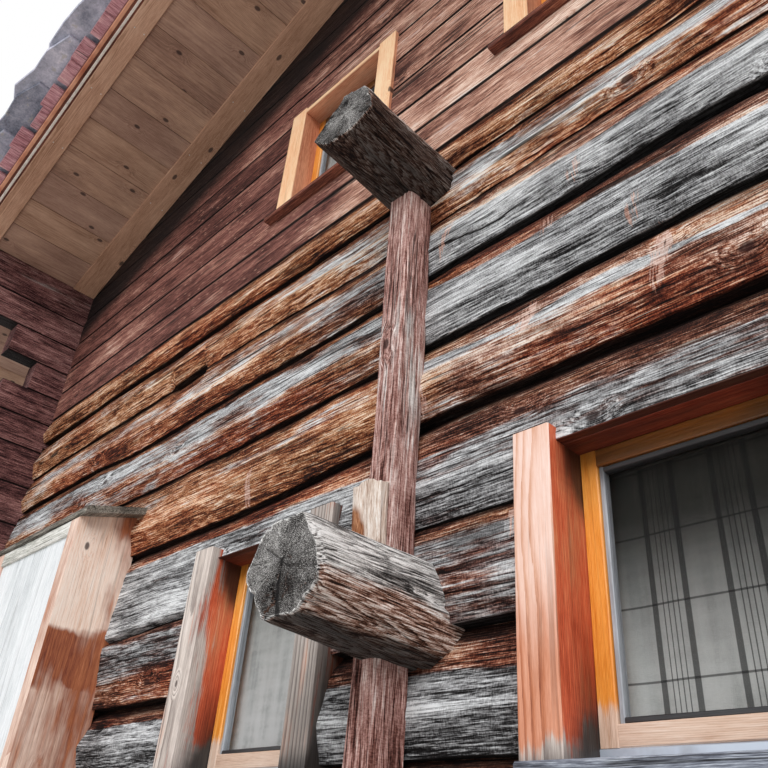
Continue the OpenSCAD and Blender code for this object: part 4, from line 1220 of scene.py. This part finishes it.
def clamp_post():
    """The post through both beams, split along its grain"""
    work = Work()
    z = np.linspace(1.12, 3.83, 210)
    left = np.interp(z, [1.1, 2.2, 2.85, 3.2, 3.83], [-0.145, -0.13, -0.125, -0.132, -0.135])
    right = np.interp(z, [1.1, 2.2, 3.0, 3.83], [-0.015, -0.02, -0.02, -0.022])
    unit = round_section(SQUARE, 40, 0.2)
    x = (left + right)[:, None] / 2 + (right - left)[:, None] / 2 * unit[:, 0]
    y = -0.0715 + 0.0615 * unit[:, 1] + 0 * x
    zz = z[:, None] + 0 * x
    angle = np.arctan2(unit[:, 1], unit[:, 0])[None]
    furrow = 0.003 * noise(500, angle * 9, zz * 1.8) + 0.0022 * noise(501, angle * 21, zz * 4)
    for k, where in enumerate((-1.3, -1.9, -2.6, -0.4)):
        line = where + 0.1 * noise(520 + k, zz * 3)
        furrow -= 0.008 * smooth(0, 0.5, noise(530 + k, zz * 2.3)) * np.exp(-((angle - line) / 0.06) ** 2)
    x += furrow * unit[:, 0]
    y += furrow * unit[:, 1]
    rings = np.stack((x, y, zz), -1)

    def grain(p):
        return np.stack((p[:, 0] + 0.06, p[:, 1] + 0.03, p[:, 2] + 9), 1)

    def silver(p):
        return 0.05 + 0.28 * smooth(1.9, 2.4, p[:, 2]) + 0.15 * noise(540, p[:, 2] * 2)

    # Painted shade: the post is much darker below the lower beam
    work.loft(rings, grain, FRONT, (3, 1), silver=silver,
              tone=lambda p: 0.9 - 4.5 * smooth(2.2, 1.8, p[:, 2]))
    work.piece("post", post_wood, "clamp_wood", ("clamp_post",))


def clamp_wedge():
    """The wedge beside the post, brown down one edge"""
    work = Work()
    z = np.linspace(2.2, 2.605, 40)
    unit = round_section(SQUARE, 32, 0.25)
    low = np.interp(z, [2.2, 2.605], [-0.15, -0.178])
    x = -0.079 + 0.062 * unit[None, :, 0] + 0 * z[:, None]
    y = (low[:, None] - 0.132) / 2 + (-0.132 - low[:, None]) / 2 * unit[None, :, 1]
    zz = z[:, None] + 0 * x
    x = x + 0.003 * noise(600, zz * 9, unit[None, :, 1] * 3)
    y = y + 0.003 * noise(601, x * 90, zz * 6)
    zz[-3:] += 0.012 * noise(602, x[-3:] * 60, y[-3:] * 30)
    rings = np.stack((x, y, zz), -1)

    def grain(p):
        return np.stack((p[:, 0] + 0.12, p[:, 1] + 0.2, p[:, 2]), 1)

    def brown(p):
        edge = p[:, 0] + 0.05 * noise(604, p[:, 2] * 18, p[:, 0] * 20)
        return 0.9 * smooth(-0.05, -0.1, edge) * smooth(2.57, 2.5, p[:, 2])

    work.loft(rings, grain, FRONT, (1, 4), tone=0.3, amber=brown)
    work.piece("wedge", wedge_wood, "wedge_wood", ("clamp_wedge",))


clamp_post()
clamp_wedge()


# Windows and the door

def lower_jamb(work, side, x, s):
    """A painted jamb, bare and silver on its face beside the clamp, with painted shade and wear in its reveal
    """
    low, high = LOWER_OPEN
    a, b = strip(s, OPEN_W / 2, OPEN_W / 2 + JAMB_W, x)
    inner = b if s < 0 else a
    bare = 0.0 if x > 0 else 0.75
    worn, far = s < 0 and x < 0, s > 0 and x < 0
    seed = 970 + side * 9 + s + int(x * 5)

    def silver(p):
        foot = 0.8 * smooth(1.98, 1.87, p[:, 2] - 0.6 * p[:, 1])
        return np.maximum(bare * (p[:, 1] < -0.05), foot)

    def depth(p):
        """The paint of the reveal comes round the arris of some"""
        arris = (np.abs(p[:, 0] - inner) < 0.006) & (p[:, 1] < -0.05) & worn
        return p[:, 1] + 0.056 + arris * (0.014 + 0.008 * noise(950, p[:, 2] * 6))

    def shade(p):
        """Painted shade under the head and beside the frame, darker at the foot, and a dull jamb behind the
        clamp
        """
        up, inside = p[:, 2], p[:, 1] > -0.04
        return (0.75 * smooth(2.44, 2.61, up + 0.5 * p[:, 1]) * inside + 0.4 * smooth(2.25, 1.9, up) * inside
                + 0.4 * smooth(-0.01, 0.07, p[:, 1])
                + 0.5 * smooth(1.95, 1.85, up - 0.5 * p[:, 1]) + (0.4 + 0.2 * smooth(2.3, 1.9, up)) * far)

    def tone(p):
        """Uneven paint in the reveal, deeper towards its foot"""
        uneven = 3.2 * noise(seed, p[:, 2] * 3.4, p[:, 1] * 20) - 1.4 * smooth(2.5, 2.0, p[:, 2])
        return uneven * (p[:, 1] > -0.04)

    plank(work, (a, -CASING_OUT, low), (b, CASE_BACK, high + HEAD_T), 2, side, 0.004, 0.025,
          depth=depth, silver=silver, stain=shade, tone=tone,
          amber=lambda p: max(0.95 - bare, 0) * smooth(2.45, 1.95, p[:, 2]))


def lower_casing(side, x, jambs, heads, sills):
    """The casing of a lower window: its jambs, its head board with painted shade under it and a thin dark
    strip of painted shade at its edge, and its sill
    """
    low, high = LOWER_OPEN
    half = OPEN_W / 2
    for s in (-1, 1):
        lower_jamb(jambs, side, x, s)
    # The head board, dark with painted shade on its underside
    plank(heads, (x - half, 0.008, high), (x + half, CASE_BACK, high + HEAD_T), 0, side, depth=0.02,
          stain=lambda p: 0.84 - 0.9 * p[:, 1] + 0.2 * noise(980, p[:, 0] * 7, p[:, 1] * 9))
    # A thin strip along the head's front edge, near black as painted shade
    plank(heads, (x - half, -0.022, high), (x + half, 0.012, high + 0.0035), 0, side, 0.001, depth=0.02,
          stain=0.93)
    plank(sills, (x - CASE_W / 2, -0.075, low - SILL_T), (x + CASE_W / 2, CASE_BACK, low), 0, side, 0.006,
          silver=0.9)


def attic_casing(side, x, jambs, sills):
    """The plainer casing of an attic window, with a wide thin board under it"""
    low, high = ATTIC_OPEN
    half, board = OPEN_W / 2, CASE_W / 2 + 0.062

    def depth(p):
        return p[:, 1] + 0.019

    for s in (-1, 1):
        a, b = strip(s, half, half + JAMB_W, x)
        plank(jambs, (a, -0.02, low), (b, CASE_BACK, high + HEAD_T), 2, side, 0.002, 0.05, depth=depth)
    # The head board, darker inside the opening as painted shade
    plank(jambs, (x - half, -0.02, high), (x + half, CASE_BACK, high + ATTIC_HEAD_T), 0, side, depth=depth,
          stain=lambda p: 0.45 * (p[:, 1] > 0))
    plank(sills, (x - board, -0.045, low - 0.024), (x + board, 0.02, low), 0, side, 0.004, tone=-1.0)
    # The inner sill board, its much darker tone painted shade under the thin sill
    plank(sills, (x - CASE_W / 2, 0.012, low - SILL_T), (x + CASE_W / 2, CASE_BACK, low - 0.002), 0, side,
          tone=-4)


def casings():
    """All the casings, and the door's head board and threshold"""
    jambs, attic, heads, sills, attic_sills = Work(), Work(), Work(), Work(), Work()
    for side, x in LOWER_WINDOWS:
        lower_casing(side, x, jambs, heads, sills)
    for side, x in ATTIC_WINDOWS:
        attic_casing(side, x, attic, attic_sills)
    low, high = DOOR_X - DOOR_W / 2, DOOR_X + DOOR_W / 2
    top = FLOOR_Z + DOOR_H
    plank(sills, (low - JAMB_W, -CASING_OUT, FLOOR_Z - SILL_T), (high + JAMB_W, WALL, FLOOR_Z), 0, RIGHT,
          0.006, silver=0.5)
    plank(heads, (low, 0.008, top), (high, CASE_BACK, top + HEAD_T), 0, RIGHT, depth=0.02)
    jambs.piece("lower_casings", case_wood, "casing_wood", ("lower_jambs",))
    attic.piece("attic_casings", attic_case, "casing_wood", ("attic_jambs",))
    heads.piece("casing_heads", case_wood, "casing_wood", ("head_boards",))
    sills.piece("lower_sills", sill_wood, "sill_wood", ("sills",))
    attic_sills.piece("attic_sills", attic_sill, "sill_wood")


def window_parts():
    """The frames and sashes, with painted shade at the top and on the sashes' foot rails, silver at the foot,
    and the metal strips on the sills
    """
    frames, sashes, strips = Work(), Work(), Work()
    for side, x, low, high in WINDOWS:
        strip_y = FRAME_IN, FRAME_IN + STRIP_T
        plank(strips, (x - OPEN_W / 2, strip_y[0], low), (x + OPEN_W / 2, strip_y[1], low + STRIP_H), 0, side)
        for work, half, foot, head, w, y0, y1 in (
                (frames, OPEN_W / 2, low + STRIP_H, high, FRAME_W, FRAME_IN, FRAME_IN + FRAME_D),
                (sashes, OPEN_W / 2 - FRAME_W, low + STRIP_H + FRAME_W, high - FRAME_W, SASH_W,
                 FRAME_IN + SASH_IN, FRAME_IN + SASH_IN + SASH_D)):
            for s in (-1, 1):
                a, b = strip(s, half, half - w, x)
                # The uprights darken towards the head with painted shade
                plank(work, (a, y0, foot), (b, y1, head), 2, side, 0.003, 0.03,
                      stain=lambda p, head=head: 0.55 * smooth(head - 0.1, head, p[:, 2]),
                      silver=lambda p, foot=foot: 0.8 * smooth(foot + 0.16, foot + 0.04, p[:, 2]))
            sash = work is sashes
            # The head rails carry painted shade, and so does the sash's foot rail
            for a, b, bare, stain_and_shade in ((foot, foot + w, 0.9, 0.9 * sash),
                                     (head - w, head, 0.0, 0.93 if sash else 0.84)):
                plank(work, (x - half + w, y0, a), (x + half - w, y1, b), 0, side, 0.003, silver=bare,
                      stain=stain_and_shade)
    frames.piece("frames", frame_wood, "frame_wood", ("window_frames",))
    sashes.piece("sashes", sash_paint, "sash_paint", ("window_sashes",))
    strips.piece("strips", zinc, "strip_metal", ("sill_strips",))


def curtain(number, side, x, low, high):
    """A curtain that hangs from its rod in shallow folds"""
    width, y = OPEN_W - 0.02, CASE_BACK - 0.01
    foot, head = low + 0.01, high - FRAME_W + 0.003
    u, v = np.meshgrid(np.linspace(0, 1, 61), np.linspace(0, 1, 25))
    seed = 900 + number
    fold = noise(seed, u * 6 + 0.3 * noise(seed + 1, v * 2)) * (0.35 + 0.65 * (1 - v))
    points = np.stack((x + (u - 0.5) * width, y - 0.001 + 0.0055 * fold, foot + v * (head - foot)), -1)
    lengths = np.linalg.norm(np.diff(points, axis=1), axis=2).sum(axis=1)
    flat = float(lengths.mean()), head - foot
    ids = np.arange(u.size).reshape(u.shape)
    faces = np.stack((ids[:-1, :-1], ids[:-1, 1:], ids[1:, 1:], ids[1:, :-1]), -1).reshape(-1, 4)
    mesh = bpy.data.meshes.new("curtain")
    mesh.from_pydata(on_side(points.reshape(-1, 3), side).tolist(), [], faces.tolist())
    layer = mesh.uv_layers.new(name="cloth")
    corners = faces.ravel()
    uv = np.stack((u.ravel()[corners] * flat[0], v.ravel()[corners] * flat[1]), 1)
    layer.data.foreach_set("uv", uv.ravel())
    mesh.polygons.foreach_set("use_smooth", np.ones(len(faces), bool))
    obj = bpy.data.objects.new("curtain_%02d" % number, mesh)
    light = side == FRONT and abs(x + INNER_X) < 0.1 or low > 4
    dress(obj, curtain_gauze if light else curtain_check, ("curtains",))


def door():
    """The door's casing and its leaf of upright boards on three rails"""
    leaf, jambs = Work(), Work()
    for s in (-1, 1):
        a, b = strip(s, DOOR_W / 2, DOOR_W / 2 + JAMB_W, DOOR_X)
        plank(jambs, (a, -CASING_OUT, FLOOR_Z), (b, CASE_BACK, FLOOR_Z + DOOR_H + HEAD_T), 2, RIGHT, 0.004,
              0.1, depth=lambda p: p[:, 1] + 0.056)
    count, low, high = 6, DOOR_X - DOOR_W / 2 + 0.003, DOOR_X + DOOR_W / 2 - 0.003
    step = (high - low) / count
    foot, head = FLOOR_Z + 0.001, FLOOR_Z + DOOR_H - 0.003
    for k in range(count):
        plank(leaf, (low + k * step + 0.001, FRAME_IN, foot), (low + (k + 1) * step - 0.001, 0.128, head), 2,
              RIGHT, 0.005)
    for z in (1.25, 1.95, 2.65):
        plank(leaf, (low + 0.03, 0.126, z - 0.06), (high - 0.03, 0.138, z + 0.06), 0, RIGHT)
    jambs.piece("door_casing", case_wood, "casing_wood", ("door_jambs",))
    leaf.piece("door_boards", door_wood, "door_wood", ("door_leaf",))


casings()
window_parts()
for index, opening in enumerate(WINDOWS):
    curtain(index, *opening)
door()


# The projecting boxes over the outer windows

BOX_FOOT, BOX_HEAD, BOX_OUT, CAP_RISE = 1.74, 2.915, 0.285, 0.088
BOX_HALF, CHEEK_T, FACING_W, BOX_PANELS = 0.469, 0.05, 0.085, 6


def cheek_band(p):
    """A red-brown band across a cheek, and a little of its colour at the foot"""
    y, z = p[:, 1], p[:, 2] + 0.02 * noise(710, p[:, 1] * 9)
    across = smooth(2.19, 2.205, z) * smooth(2.46, 2.4, z) * (0.9 + 0.3 * noise(711, y * 16, z * 5))
    edge = 0.42 * smooth(-0.12, -0.02, y + 0.05 * noise(712, z * 7)) + 0.3 * smooth(2.84, 2.9, z)
    return across + (edge + 0.1 * smooth(-0.2, -0.28, y)) * smooth(2.4, 2.46, z) \
        + (0.44 + 0.22 * smooth(-0.28, -0.1, y + 0.05 * noise(713, z * 9))) * smooth(2.205, 2.19, z)


def cheek(work, x, s):
    """A side of a box, whose top rises towards the wall, and the narrow facing on its front edge"""
    a, b = strip(s, BOX_HALF, BOX_HALF - CHEEK_T, x)
    y = -BOX_OUT + (0.012 + BOX_OUT) * np.linspace(0, 1, 9)
    rings = []
    for z in np.linspace(BOX_FOOT, BOX_HEAD, 40):
        rings.append([(a, yy, z) for yy in y] + [(b, yy, z) for yy in y[::-1]])
    top = BOX_HEAD + CAP_RISE * (y + BOX_OUT) / BOX_OUT
    rings.append([(a, yy, t) for yy, t in zip(y, top)] + [(b, yy, t) for yy, t in zip(y[::-1], top[::-1])])
    rings = np.array(rings)
    rings[..., 1] += 0.0012 * noise(700, rings[..., 2] * 6, rings[..., 0] * 9)
    work.loft(rings, lambda p: np.stack((p[:, 0] - a + 0.09, p[:, 1] + 0.1, p[:, 2] + a * 7), 1), FRONT,
              tone=0.2, amber=cheek_band)
    near, far = strip(s, BOX_HALF, BOX_HALF - FACING_W, x)
    plank(work, (near, -BOX_OUT - 0.001, BOX_FOOT), (far, -0.2735, BOX_HEAD - 0.002), 2, FRONT, 0.002,
          tone=0.8, amber=0.45)


def boxes():
    """The two boxes: cheeks, a sloping cap, rails and white upright boards"""
    cheeks, caps, rails, panels = Work(), Work(), Work(), Work()
    inner = BOX_HALF - CHEEK_T
    step = 2 * inner / BOX_PANELS
    for x in (-OUTER_X, OUTER_X):
        for s in (-1, 1):
            cheek(cheeks, x, s)
        plank(caps, (x - BOX_HALF - 0.074, -0.295, 0), (x + BOX_HALF + 0.074, 0.03, 0.035), 0, None, 0.008,
              0.05)
        shape = caps.points[-1]
        shape[:, 2] += BOX_HEAD + CAP_RISE * (shape[:, 1] + BOX_OUT) / BOX_OUT
        shape[:] = on_side(shape, FRONT)
        plank(rails, (x - inner, -BOX_OUT, BOX_HEAD - 0.07), (x + inner, -BOX_OUT + CHEEK_T, BOX_HEAD), 0,
              FRONT)
        plank(rails, (x - inner, -BOX_OUT, BOX_FOOT), (x + inner, -0.077, BOX_FOOT + SILL_T), 0, FRONT)
        for k in range(BOX_PANELS):
            plank(panels, (x - inner + k * step + 0.001, -0.273, BOX_FOOT + SILL_T),
                  (x - inner + (k + 1) * step - 0.001, -0.249, BOX_HEAD - 0.07), 2, FRONT, 0.002)
    cheeks.piece("cheeks", cheek_wood, "box_wood", ("box_cheeks",))
    caps.piece("caps", cap_wood, "cap_wood", ("box_caps",))
    rails.piece("rails", rail_wood, "box_wood", ("box_rails",))
    panels.piece("panels", panel_wood, "panel_wood", ("box_panels",))


boxes()


# The roof

def on_slope(work, s, x0, x1, y0, y1, up, t, along=1, edge=0.003, spacing=0.5, **looks):
    """A board on a slope of the roof: x is level, and up is the height above the lining's underside"""
    first = len(work.points)
    plank(work, (x0, y0, up), (x1, y1, up + t), along, None, edge, spacing, **looks)
    tilt(work, first, s)


def tilt(work, first, s):
    """Lays what was gathered last on a slope of the roof"""
    shape = work.points[first]
    x, z = shape[:, 0].copy(), shape[:, 2].copy()
    shape[:, 0] = s * (x + z * RISE / ALONG)
    shape[:, 2] = RIDGE_Z - RISE * x + z / ALONG
    if s < 0:
        for faces in (work.faces[3], work.faces[4]):
            faces[-1] = faces[-1][:, ::-1]


def roof_boards(s):
    """The lining's boards, of uneven widths, and the deck on them"""
    lining, deck = Work(), Work()
    x = RIDGE_GAP
    while x < ROOF_X - 0.01:
        width = LINING_W * chance.uniform(0.92, 1.12)
        to = min(x + width, ROOF_X)
        if ROOF_X - to < 0.08:
            to = ROOF_X
        on_slope(lining, s, x + 0.001, to - 0.001, -ROOF_Y, ROOF_Y, 0.0, LINING_T,
                 amber=float(chance.uniform(0.0, 1.0)))
        x = to
    on_slope(deck, s, 0.03, ROOF_X, -ROOF_Y, ROOF_Y, 0.0255, 0.0305)
    side = "left" if s < 0 else "right"
    lining.piece("lining_" + side, lining_wood, "lining", ("roof_boards_" + side,))
    deck.piece("deck_" + side, slating_wood, "slating_boards")


def verge():
    """The boards under the verges and at the wall, and the metal over the ends of the roof's boards"""
    trims, flashings, drips, edges = Work(), Work(), Work(), Work()
    verge_in = ROOF_Y - 0.062
    for end in (-1, 1):
        for s in (-1, 1):
            for work, near, far, x0, x1, up, t, ease in (
                    (trims, HALF_D, HALF_D + 0.168, PURLIN_W / 2, HALF_W, -TRIM_T, TRIM_T, 0.003),
                    (trims, verge_in, verge_in - 0.125, RIDGE_GAP, ROOF_X, -TRIM_T, TRIM_T, 0.003),
                    (flashings, ROOF_Y, ROOF_Y + 0.004, RIDGE_GAP, ROOF_X, -0.004, 0.064, 0.001),
                    (flashings, ROOF_Y - 0.08, ROOF_Y, RIDGE_GAP, ROOF_X, -0.003, 0.003, 0.001),
                    (drips, ROOF_Y - 0.05, ROOF_Y - 0.034, RIDGE_GAP, ROOF_X, -0.012, 0.011, 0.005),
                    (edges, ROOF_Y - 0.018, ROOF_Y + 0.006, RIDGE_GAP, ROOF_X, -0.009, 0.012, 0.005)):
                a, b = strip(end, near, far)
                on_slope(work, s, x0, x1, a, b, up, t, 0, ease)
    trims.piece("trims", trim_wood, "lining", ("verge_trims",))
    flashings.piece("flashings", brown_metal, "flashing", ("verge_flashings",))
    edges.piece("flashing_edges", copper, "flashing")
    drips.piece("drip_strips", drip_paint, "flashing")


def slating():
    """The pairs of boards that carry the stones"""
    step, w = SLAT_PITCH / ALONG, SLAT_W / ALONG
    count = int((ROOF_X - 2 * w) / step) + 1
    run = ROOF_Y + SLAT_OUT - 0.02
    for s, side in ((-1, "left"), (1, "right")):
        for k, place in enumerate(("lower", "upper")):
            board = Work()
            x = ROOF_X - k * (w + 0.004)
            on_slope(board, s, x - w, x, -run, run, BOARDS_T, SLAT_T)
            nodes = ("slating_boards",) if side == "left" and k == 0 else ()
            row("slats_%s_%s" % (side, place), board, count, (-s * step, 0, RISE * step), (0, 0.02, 0),
                20 + 2 * s + k, slating_wood, nodes)


def trim_nails():
    """Nail heads in pairs along the boards under the verges"""
    spacing, radius = 0.46, 0.004
    turn = np.linspace(0, 2 * math.pi, 8, endpoint=False)
    for s, side in ((-1, "left"), (1, "right")):
        heads = Work()
        for end in (-1, 1):
            for out in (HALF_D + 0.035, HALF_D + 0.13, ROOF_Y - 0.1, ROOF_Y - 0.165):
                x, y = radius * np.cos(turn), radius * np.sin(turn)
                rings = [np.stack((0.42 + x * r, end * out + y * r, up + 0 * turn), 1)
                         for r, up in ((1.0, -0.017), (1.0, -0.0187), (0.6, -0.0195))]
                first = len(heads.points)
                heads.loft(np.array(rings), lambda p: p)
                tilt(heads, first, s)
        row("trim_nails_" + side, heads, 7, (s * spacing, 0, -RISE * spacing), (0.01, 0.003, 0.0), 60 + s,
            rod_metal)


def slab(work, s, x, y, up, length, width, thick, turn, lift=0.0):
    """One roofing stone: a flat slab with an uneven outline and chipped edges, its foot lifted by the
    stone under it"""
    count = 14
    angles = np.linspace(0, 2 * math.pi, count, endpoint=False) + math.pi / count
    seed = int(chance.integers(1 << 20))
    reach = 1 / np.maximum(np.abs(np.cos(angles)), np.abs(np.sin(angles)))
    reach = np.minimum(reach, 1.26) * (1 + 0.07 * noise(seed, np.cos(angles) * 3, np.sin(angles) * 3))
    out = np.stack((np.cos(angles) * reach * length / 2, np.sin(angles) * reach * width / 2), 1)
    c, n = math.cos(turn), math.sin(turn)
    out = out @ np.array(((c, n), (-n, c)))
    rings = []
    for share, level in ((0.985, 0.0), (1.0, 0.35), (0.99, 0.75), (0.965, 1.0)):
        z = up + level * thick + 0.003 * noise(seed + 1, out[:, 0] * 6, out[:, 1] * 6) \
            + lift * (out[:, 0] / length + 0.5)
        rings.append(np.stack((x + out[:, 0] * share, y + out[:, 1] * share, z), 1))
    first = len(work.points)
    work.loft(np.array(rings), lambda p: p, None, (1, 2), tone=float(chance.uniform(-1, 1)))
    tilt(work, first, s)


def stones(s):
    """The courses of stone slabs on one slope, from the eaves up"""
    work = Work()
    step = STONE_COURSE / ALONG
    edge, base = ROOF_X + STONE_OUT / 2, BOARDS_T + SLAT_T
    run = ROOF_Y + STONE_OUT
    for i in range(math.ceil(edge / step)):
        foot = edge - i * step
        y = -run + chance.uniform(0, 0.02)
        while y < run - 0.15:
            width = chance.uniform(0.42, 0.66)
            if run - y - width < 0.3:
                width = run - y
            length = min(0.66, foot + 0.05)
            x = foot - length / 2 + chance.uniform(-0.015, 0.01)
            uneven = 0.004 * chance.uniform(-1, 1)
            slab(work, s, x, y + width / 2, base + 0.004 + uneven, length, width * 0.97, STONE_T,
                 chance.uniform(-0.05, 0.05), STONE_T * (1.25 if i else 0.3))
            y += width
    side = "left" if s < 0 else "right"
    work.piece("stones_" + side, roof_stone, "roof_stone", ("stone_slabs_" + side,))


def ridge():
    """The slabs along the ridge, on both slopes"""
    work = Work()
    run = ROOF_Y + STONE_OUT
    for s in (-1, 1):
        y = -run
        while y < run - 0.2:
            width = min(chance.uniform(0.5, 0.75), run - y)
            slab(work, s, 0.13, y + width / 2, BOARDS_T + SLAT_T + 2.2 * STONE_T, 0.34, width * 0.98, STONE_T,
                 chance.uniform(-0.02, 0.02))
            y += width
    work.piece("ridge_slabs", roof_stone, "roof_stone", ("ridge_stones",))


for slope in (-1, 1):
    roof_boards(slope)
    stones(slope)
verge()
slating()
trim_nails()
ridge()


def under_roof(work):
    """Cuts what was gathered last to the slope of the roof"""
    shape = work.points[-1]
    shape[:, 2] = np.minimum(shape[:, 2], roof_z(shape[:, 0]) + 0.002)


def purlins():
    """The eave logs on the side walls, and the ridge log"""
    eaves, top = Work(), Work()
    k = LAST_CROSS + 1
    foot, head = SIDE_JOINTS[k], roof_z(HALF_W)
    run = HALF_D + PURLIN_OUT
    keep = (foot + FRONT_JOINTS[k]) / 2
    for side in (LEFT, RIGHT):
        def limits(x):
            return np.where(at_corner(x, HALF_D - WALL, HALF_D), keep, foot), head + 0 * x

        def height(z):
            return lambda x: z + 0 * np.asarray(x, float)

        edges = both_ways(run, HALF_D - WALL, HALF_D + CLEAR)
        log(eaves, side, height(foot), height(head), limits, edges, False, lambda x, s, amber: 0.2 + 0 * x,
            lambda x: 0.06, PLANED_SHARES, 5000 + side, heads=4)
        under_roof(eaves)
    plank(top, (-PURLIN_W / 2, -run, RIDGE_Z - PURLIN_H), (PURLIN_W / 2, run, RIDGE_Z - 0.004), 1, None,
          0.008)
    under_roof(top)
    eaves.piece("eave_logs", corner_wood, "purlins", ("eave_purlins",))
    top.piece("ridge_log", log_wood, "purlins", ("ridge_purlin",))


purlins()


# Masonry

def rubble_wall(work, side, x0, x1, z0, z1, out):
    """Courses of rubble stones with rough faces, from z0 up to z1"""
    z = z0
    while z < z1 - 0.05:
        height = min(chance.uniform(0.13, 0.21), z1 - z)
        if z1 - z - height < 0.08:
            height = z1 - z
        x = x0
        while x < x1 - 0.02:
            width = chance.uniform(0.18, 0.42)
            if x1 - x - width < 0.12:
                width = x1 - x
            seed = int(chance.integers(1 << 20))
            ring = round_section(SQUARE, 12, 0.35)
            rings = []
            for share, deep in ((0.97, 0.05), (0.98, 0.004), (0.9, -0.012), (0.62, -0.017)):
                rx = x + width / 2 + ring[:, 0] * (width / 2 - 0.008) * share
                rz = z + height / 2 + ring[:, 1] * (height / 2 - 0.008) * share
                ry = -out + deep + 0.005 * noise(seed, rx * 9, rz * 9)
                rings.append(np.stack((rx, ry, rz), 1))
            work.loft(np.array(rings), lambda p: p, side, tone=float(chance.uniform(-1, 1)))
            x += width
        z += height


def masonry():
    """The plinth's stones and the entrance's steps, each step a slab on rubble"""
    work = Work()
    for side, half in ((FRONT, OUTER_HALF_W), (REAR, OUTER_HALF_W), (LEFT, HALF_D), (RIGHT, HALF_D)):
        rubble_wall(work, side, -half - PLINTH_OUT, half + PLINTH_OUT, 0.0, PLINTH_H, PLINTH_OUT)
    work.piece("rubble_face", rubble, "masonry")
    steps = Work()
    top, count, tread, landing = FLOOR_Z - SILL_T, 5, 0.29, 0.6
    rise = top / count
    front, back = -PLINTH_OUT - 0.7, -PLINTH_OUT
    for i in range(count):
        x1 = DOOR_X + landing if i == 0 else DOOR_X - landing - (i - 1) * tread
        x0 = DOOR_X - landing - i * tread
        under = top - i * rise - 0.06
        plank(steps, (x0, front, under), (x1, back, top - i * rise), 0, RIGHT, 0.012, 0.08, 0.004)
        rubble_wall(steps, RIGHT, x0, x1, 0.0, under, -front)
        plank(steps, (x0 + 0.01, front + 0.02, 0), (x1, back, under), 0, RIGHT)
    steps.piece("entrance_steps", rubble, "steps_stone", ("door_steps",))


masonry()

# Solids that stay as they are
for name, material in (("gable_plinths", mortar), ("side_plinths", mortar), ("floor_joists", floor_wood),
                       ("ground_floor", floor_wood), ("attic_floor", floor_wood), ("rafters", floor_wood),
                       ("window_glass", glazing()), ("curtain_rods", painted_shade_rod)):
    node = frame["nodes"][name]
    node.data.materials.clear()
    node.data.materials.append(material)


# Floor, light and camera

FLOOR_HALF = 40
# How strong the backdrop's light is from below and from above, and the lamp's
GROUND_LIGHT, SKY_LIGHT, KEY_LIGHT = 0.27, 0.85, 2.25
# The camera as calibrated from the photograph: its place and which way it looks and stands
EYE, LENS, SENSOR = (1.533, -5.8, 1.6), 36.95, 36
EYE_RIGHT, EYE_UP = (0.70230563, 0.70845245, 0.06972753), (0.3384414, -0.41845755, 0.84282305)
EYE_FORWARD = (-0.62627806, 0.5683207, 0.53365473)


def floor():
    """A plain pale floor"""
    m = Shade("floor_paint")
    grain = m.noise(m.place(), 2, 3)
    material = m.finish(Base_Color=m.mix(grain, "#dcdad6", "#e4e2de"), Roughness=0.9)
    mesh = bpy.data.meshes.new("floor")
    mesh.from_pydata([(x * FLOOR_HALF, y * FLOOR_HALF, 0) for x, y in SQUARE], [], [(0, 1, 2, 3)])
    obj = bpy.data.objects.new("floor", mesh)
    obj.data.materials.append(material)
    bpy.context.scene.collection.objects.link(obj)


def world():
    """A white backdrop, with softer light from low down than from above"""
    made = bpy.data.worlds.new("studio")
    bpy.context.scene.world = made
    made.use_nodes = True
    tree = made.node_tree
    tree.nodes.clear()
    path = add_node(tree, "ShaderNodeLightPath").outputs
    seen = path["Is Camera Ray"]
    for ray in ("Is Glossy Ray", "Is Transmission Ray"):
        seen = add_node(tree, "ShaderNodeMath", {"operation": "MAXIMUM"}, (seen, path[ray])).outputs[0]
    facing = add_node(tree, "ShaderNodeTexCoord").outputs["Generated"]
    height = add_node(tree, "ShaderNodeSeparateXYZ", {}, (facing,)).outputs["Z"]
    dome = add_node(tree, "ShaderNodeMapRange", {}, {
        "Value": height, "From Min": -0.2, "To Min": GROUND_LIGHT, "To Max": SKY_LIGHT}).outputs[0]
    light = add_node(tree, "ShaderNodeMapRange", {}, {
        "Value": seen, "To Min": dome, "To Max": 1.0}).outputs[0]
    sky = add_node(tree, "ShaderNodeBackground", {}, {"Color": (1, 1, 1, 1), "Strength": light}).outputs[0]
    add_node(tree, "ShaderNodeOutputWorld", {}, (sky,))


def lamp():
    """One wide soft lamp, high up and from the left of the view"""
    light = bpy.data.lights.new("key", "SUN")
    light.energy = KEY_LIGHT
    light.angle = math.radians(45)
    obj = bpy.data.objects.new("key", light)
    obj.rotation_euler = Vector((-0.75, 1.0, -0.8)).to_track_quat("-Z", "Y").to_euler()
    bpy.context.scene.collection.objects.link(obj)


def camera():
    """The photograph's viewing angle, from the calibration"""
    lens = bpy.data.cameras.new("camera")
    lens.sensor_width, lens.lens = SENSOR, LENS
    obj = bpy.data.objects.new("camera", lens)
    turn = Matrix((Vector(EYE_RIGHT), Vector(EYE_UP), -Vector(EYE_FORWARD))).transposed().to_4x4()
    obj.matrix_world = Matrix.Translation(EYE) @ turn
    bpy.context.scene.collection.objects.link(obj)
    bpy.context.scene.camera = obj


floor()
world()
lamp()
camera()
bpy.context.scene.view_settings.view_transform = "Standard"
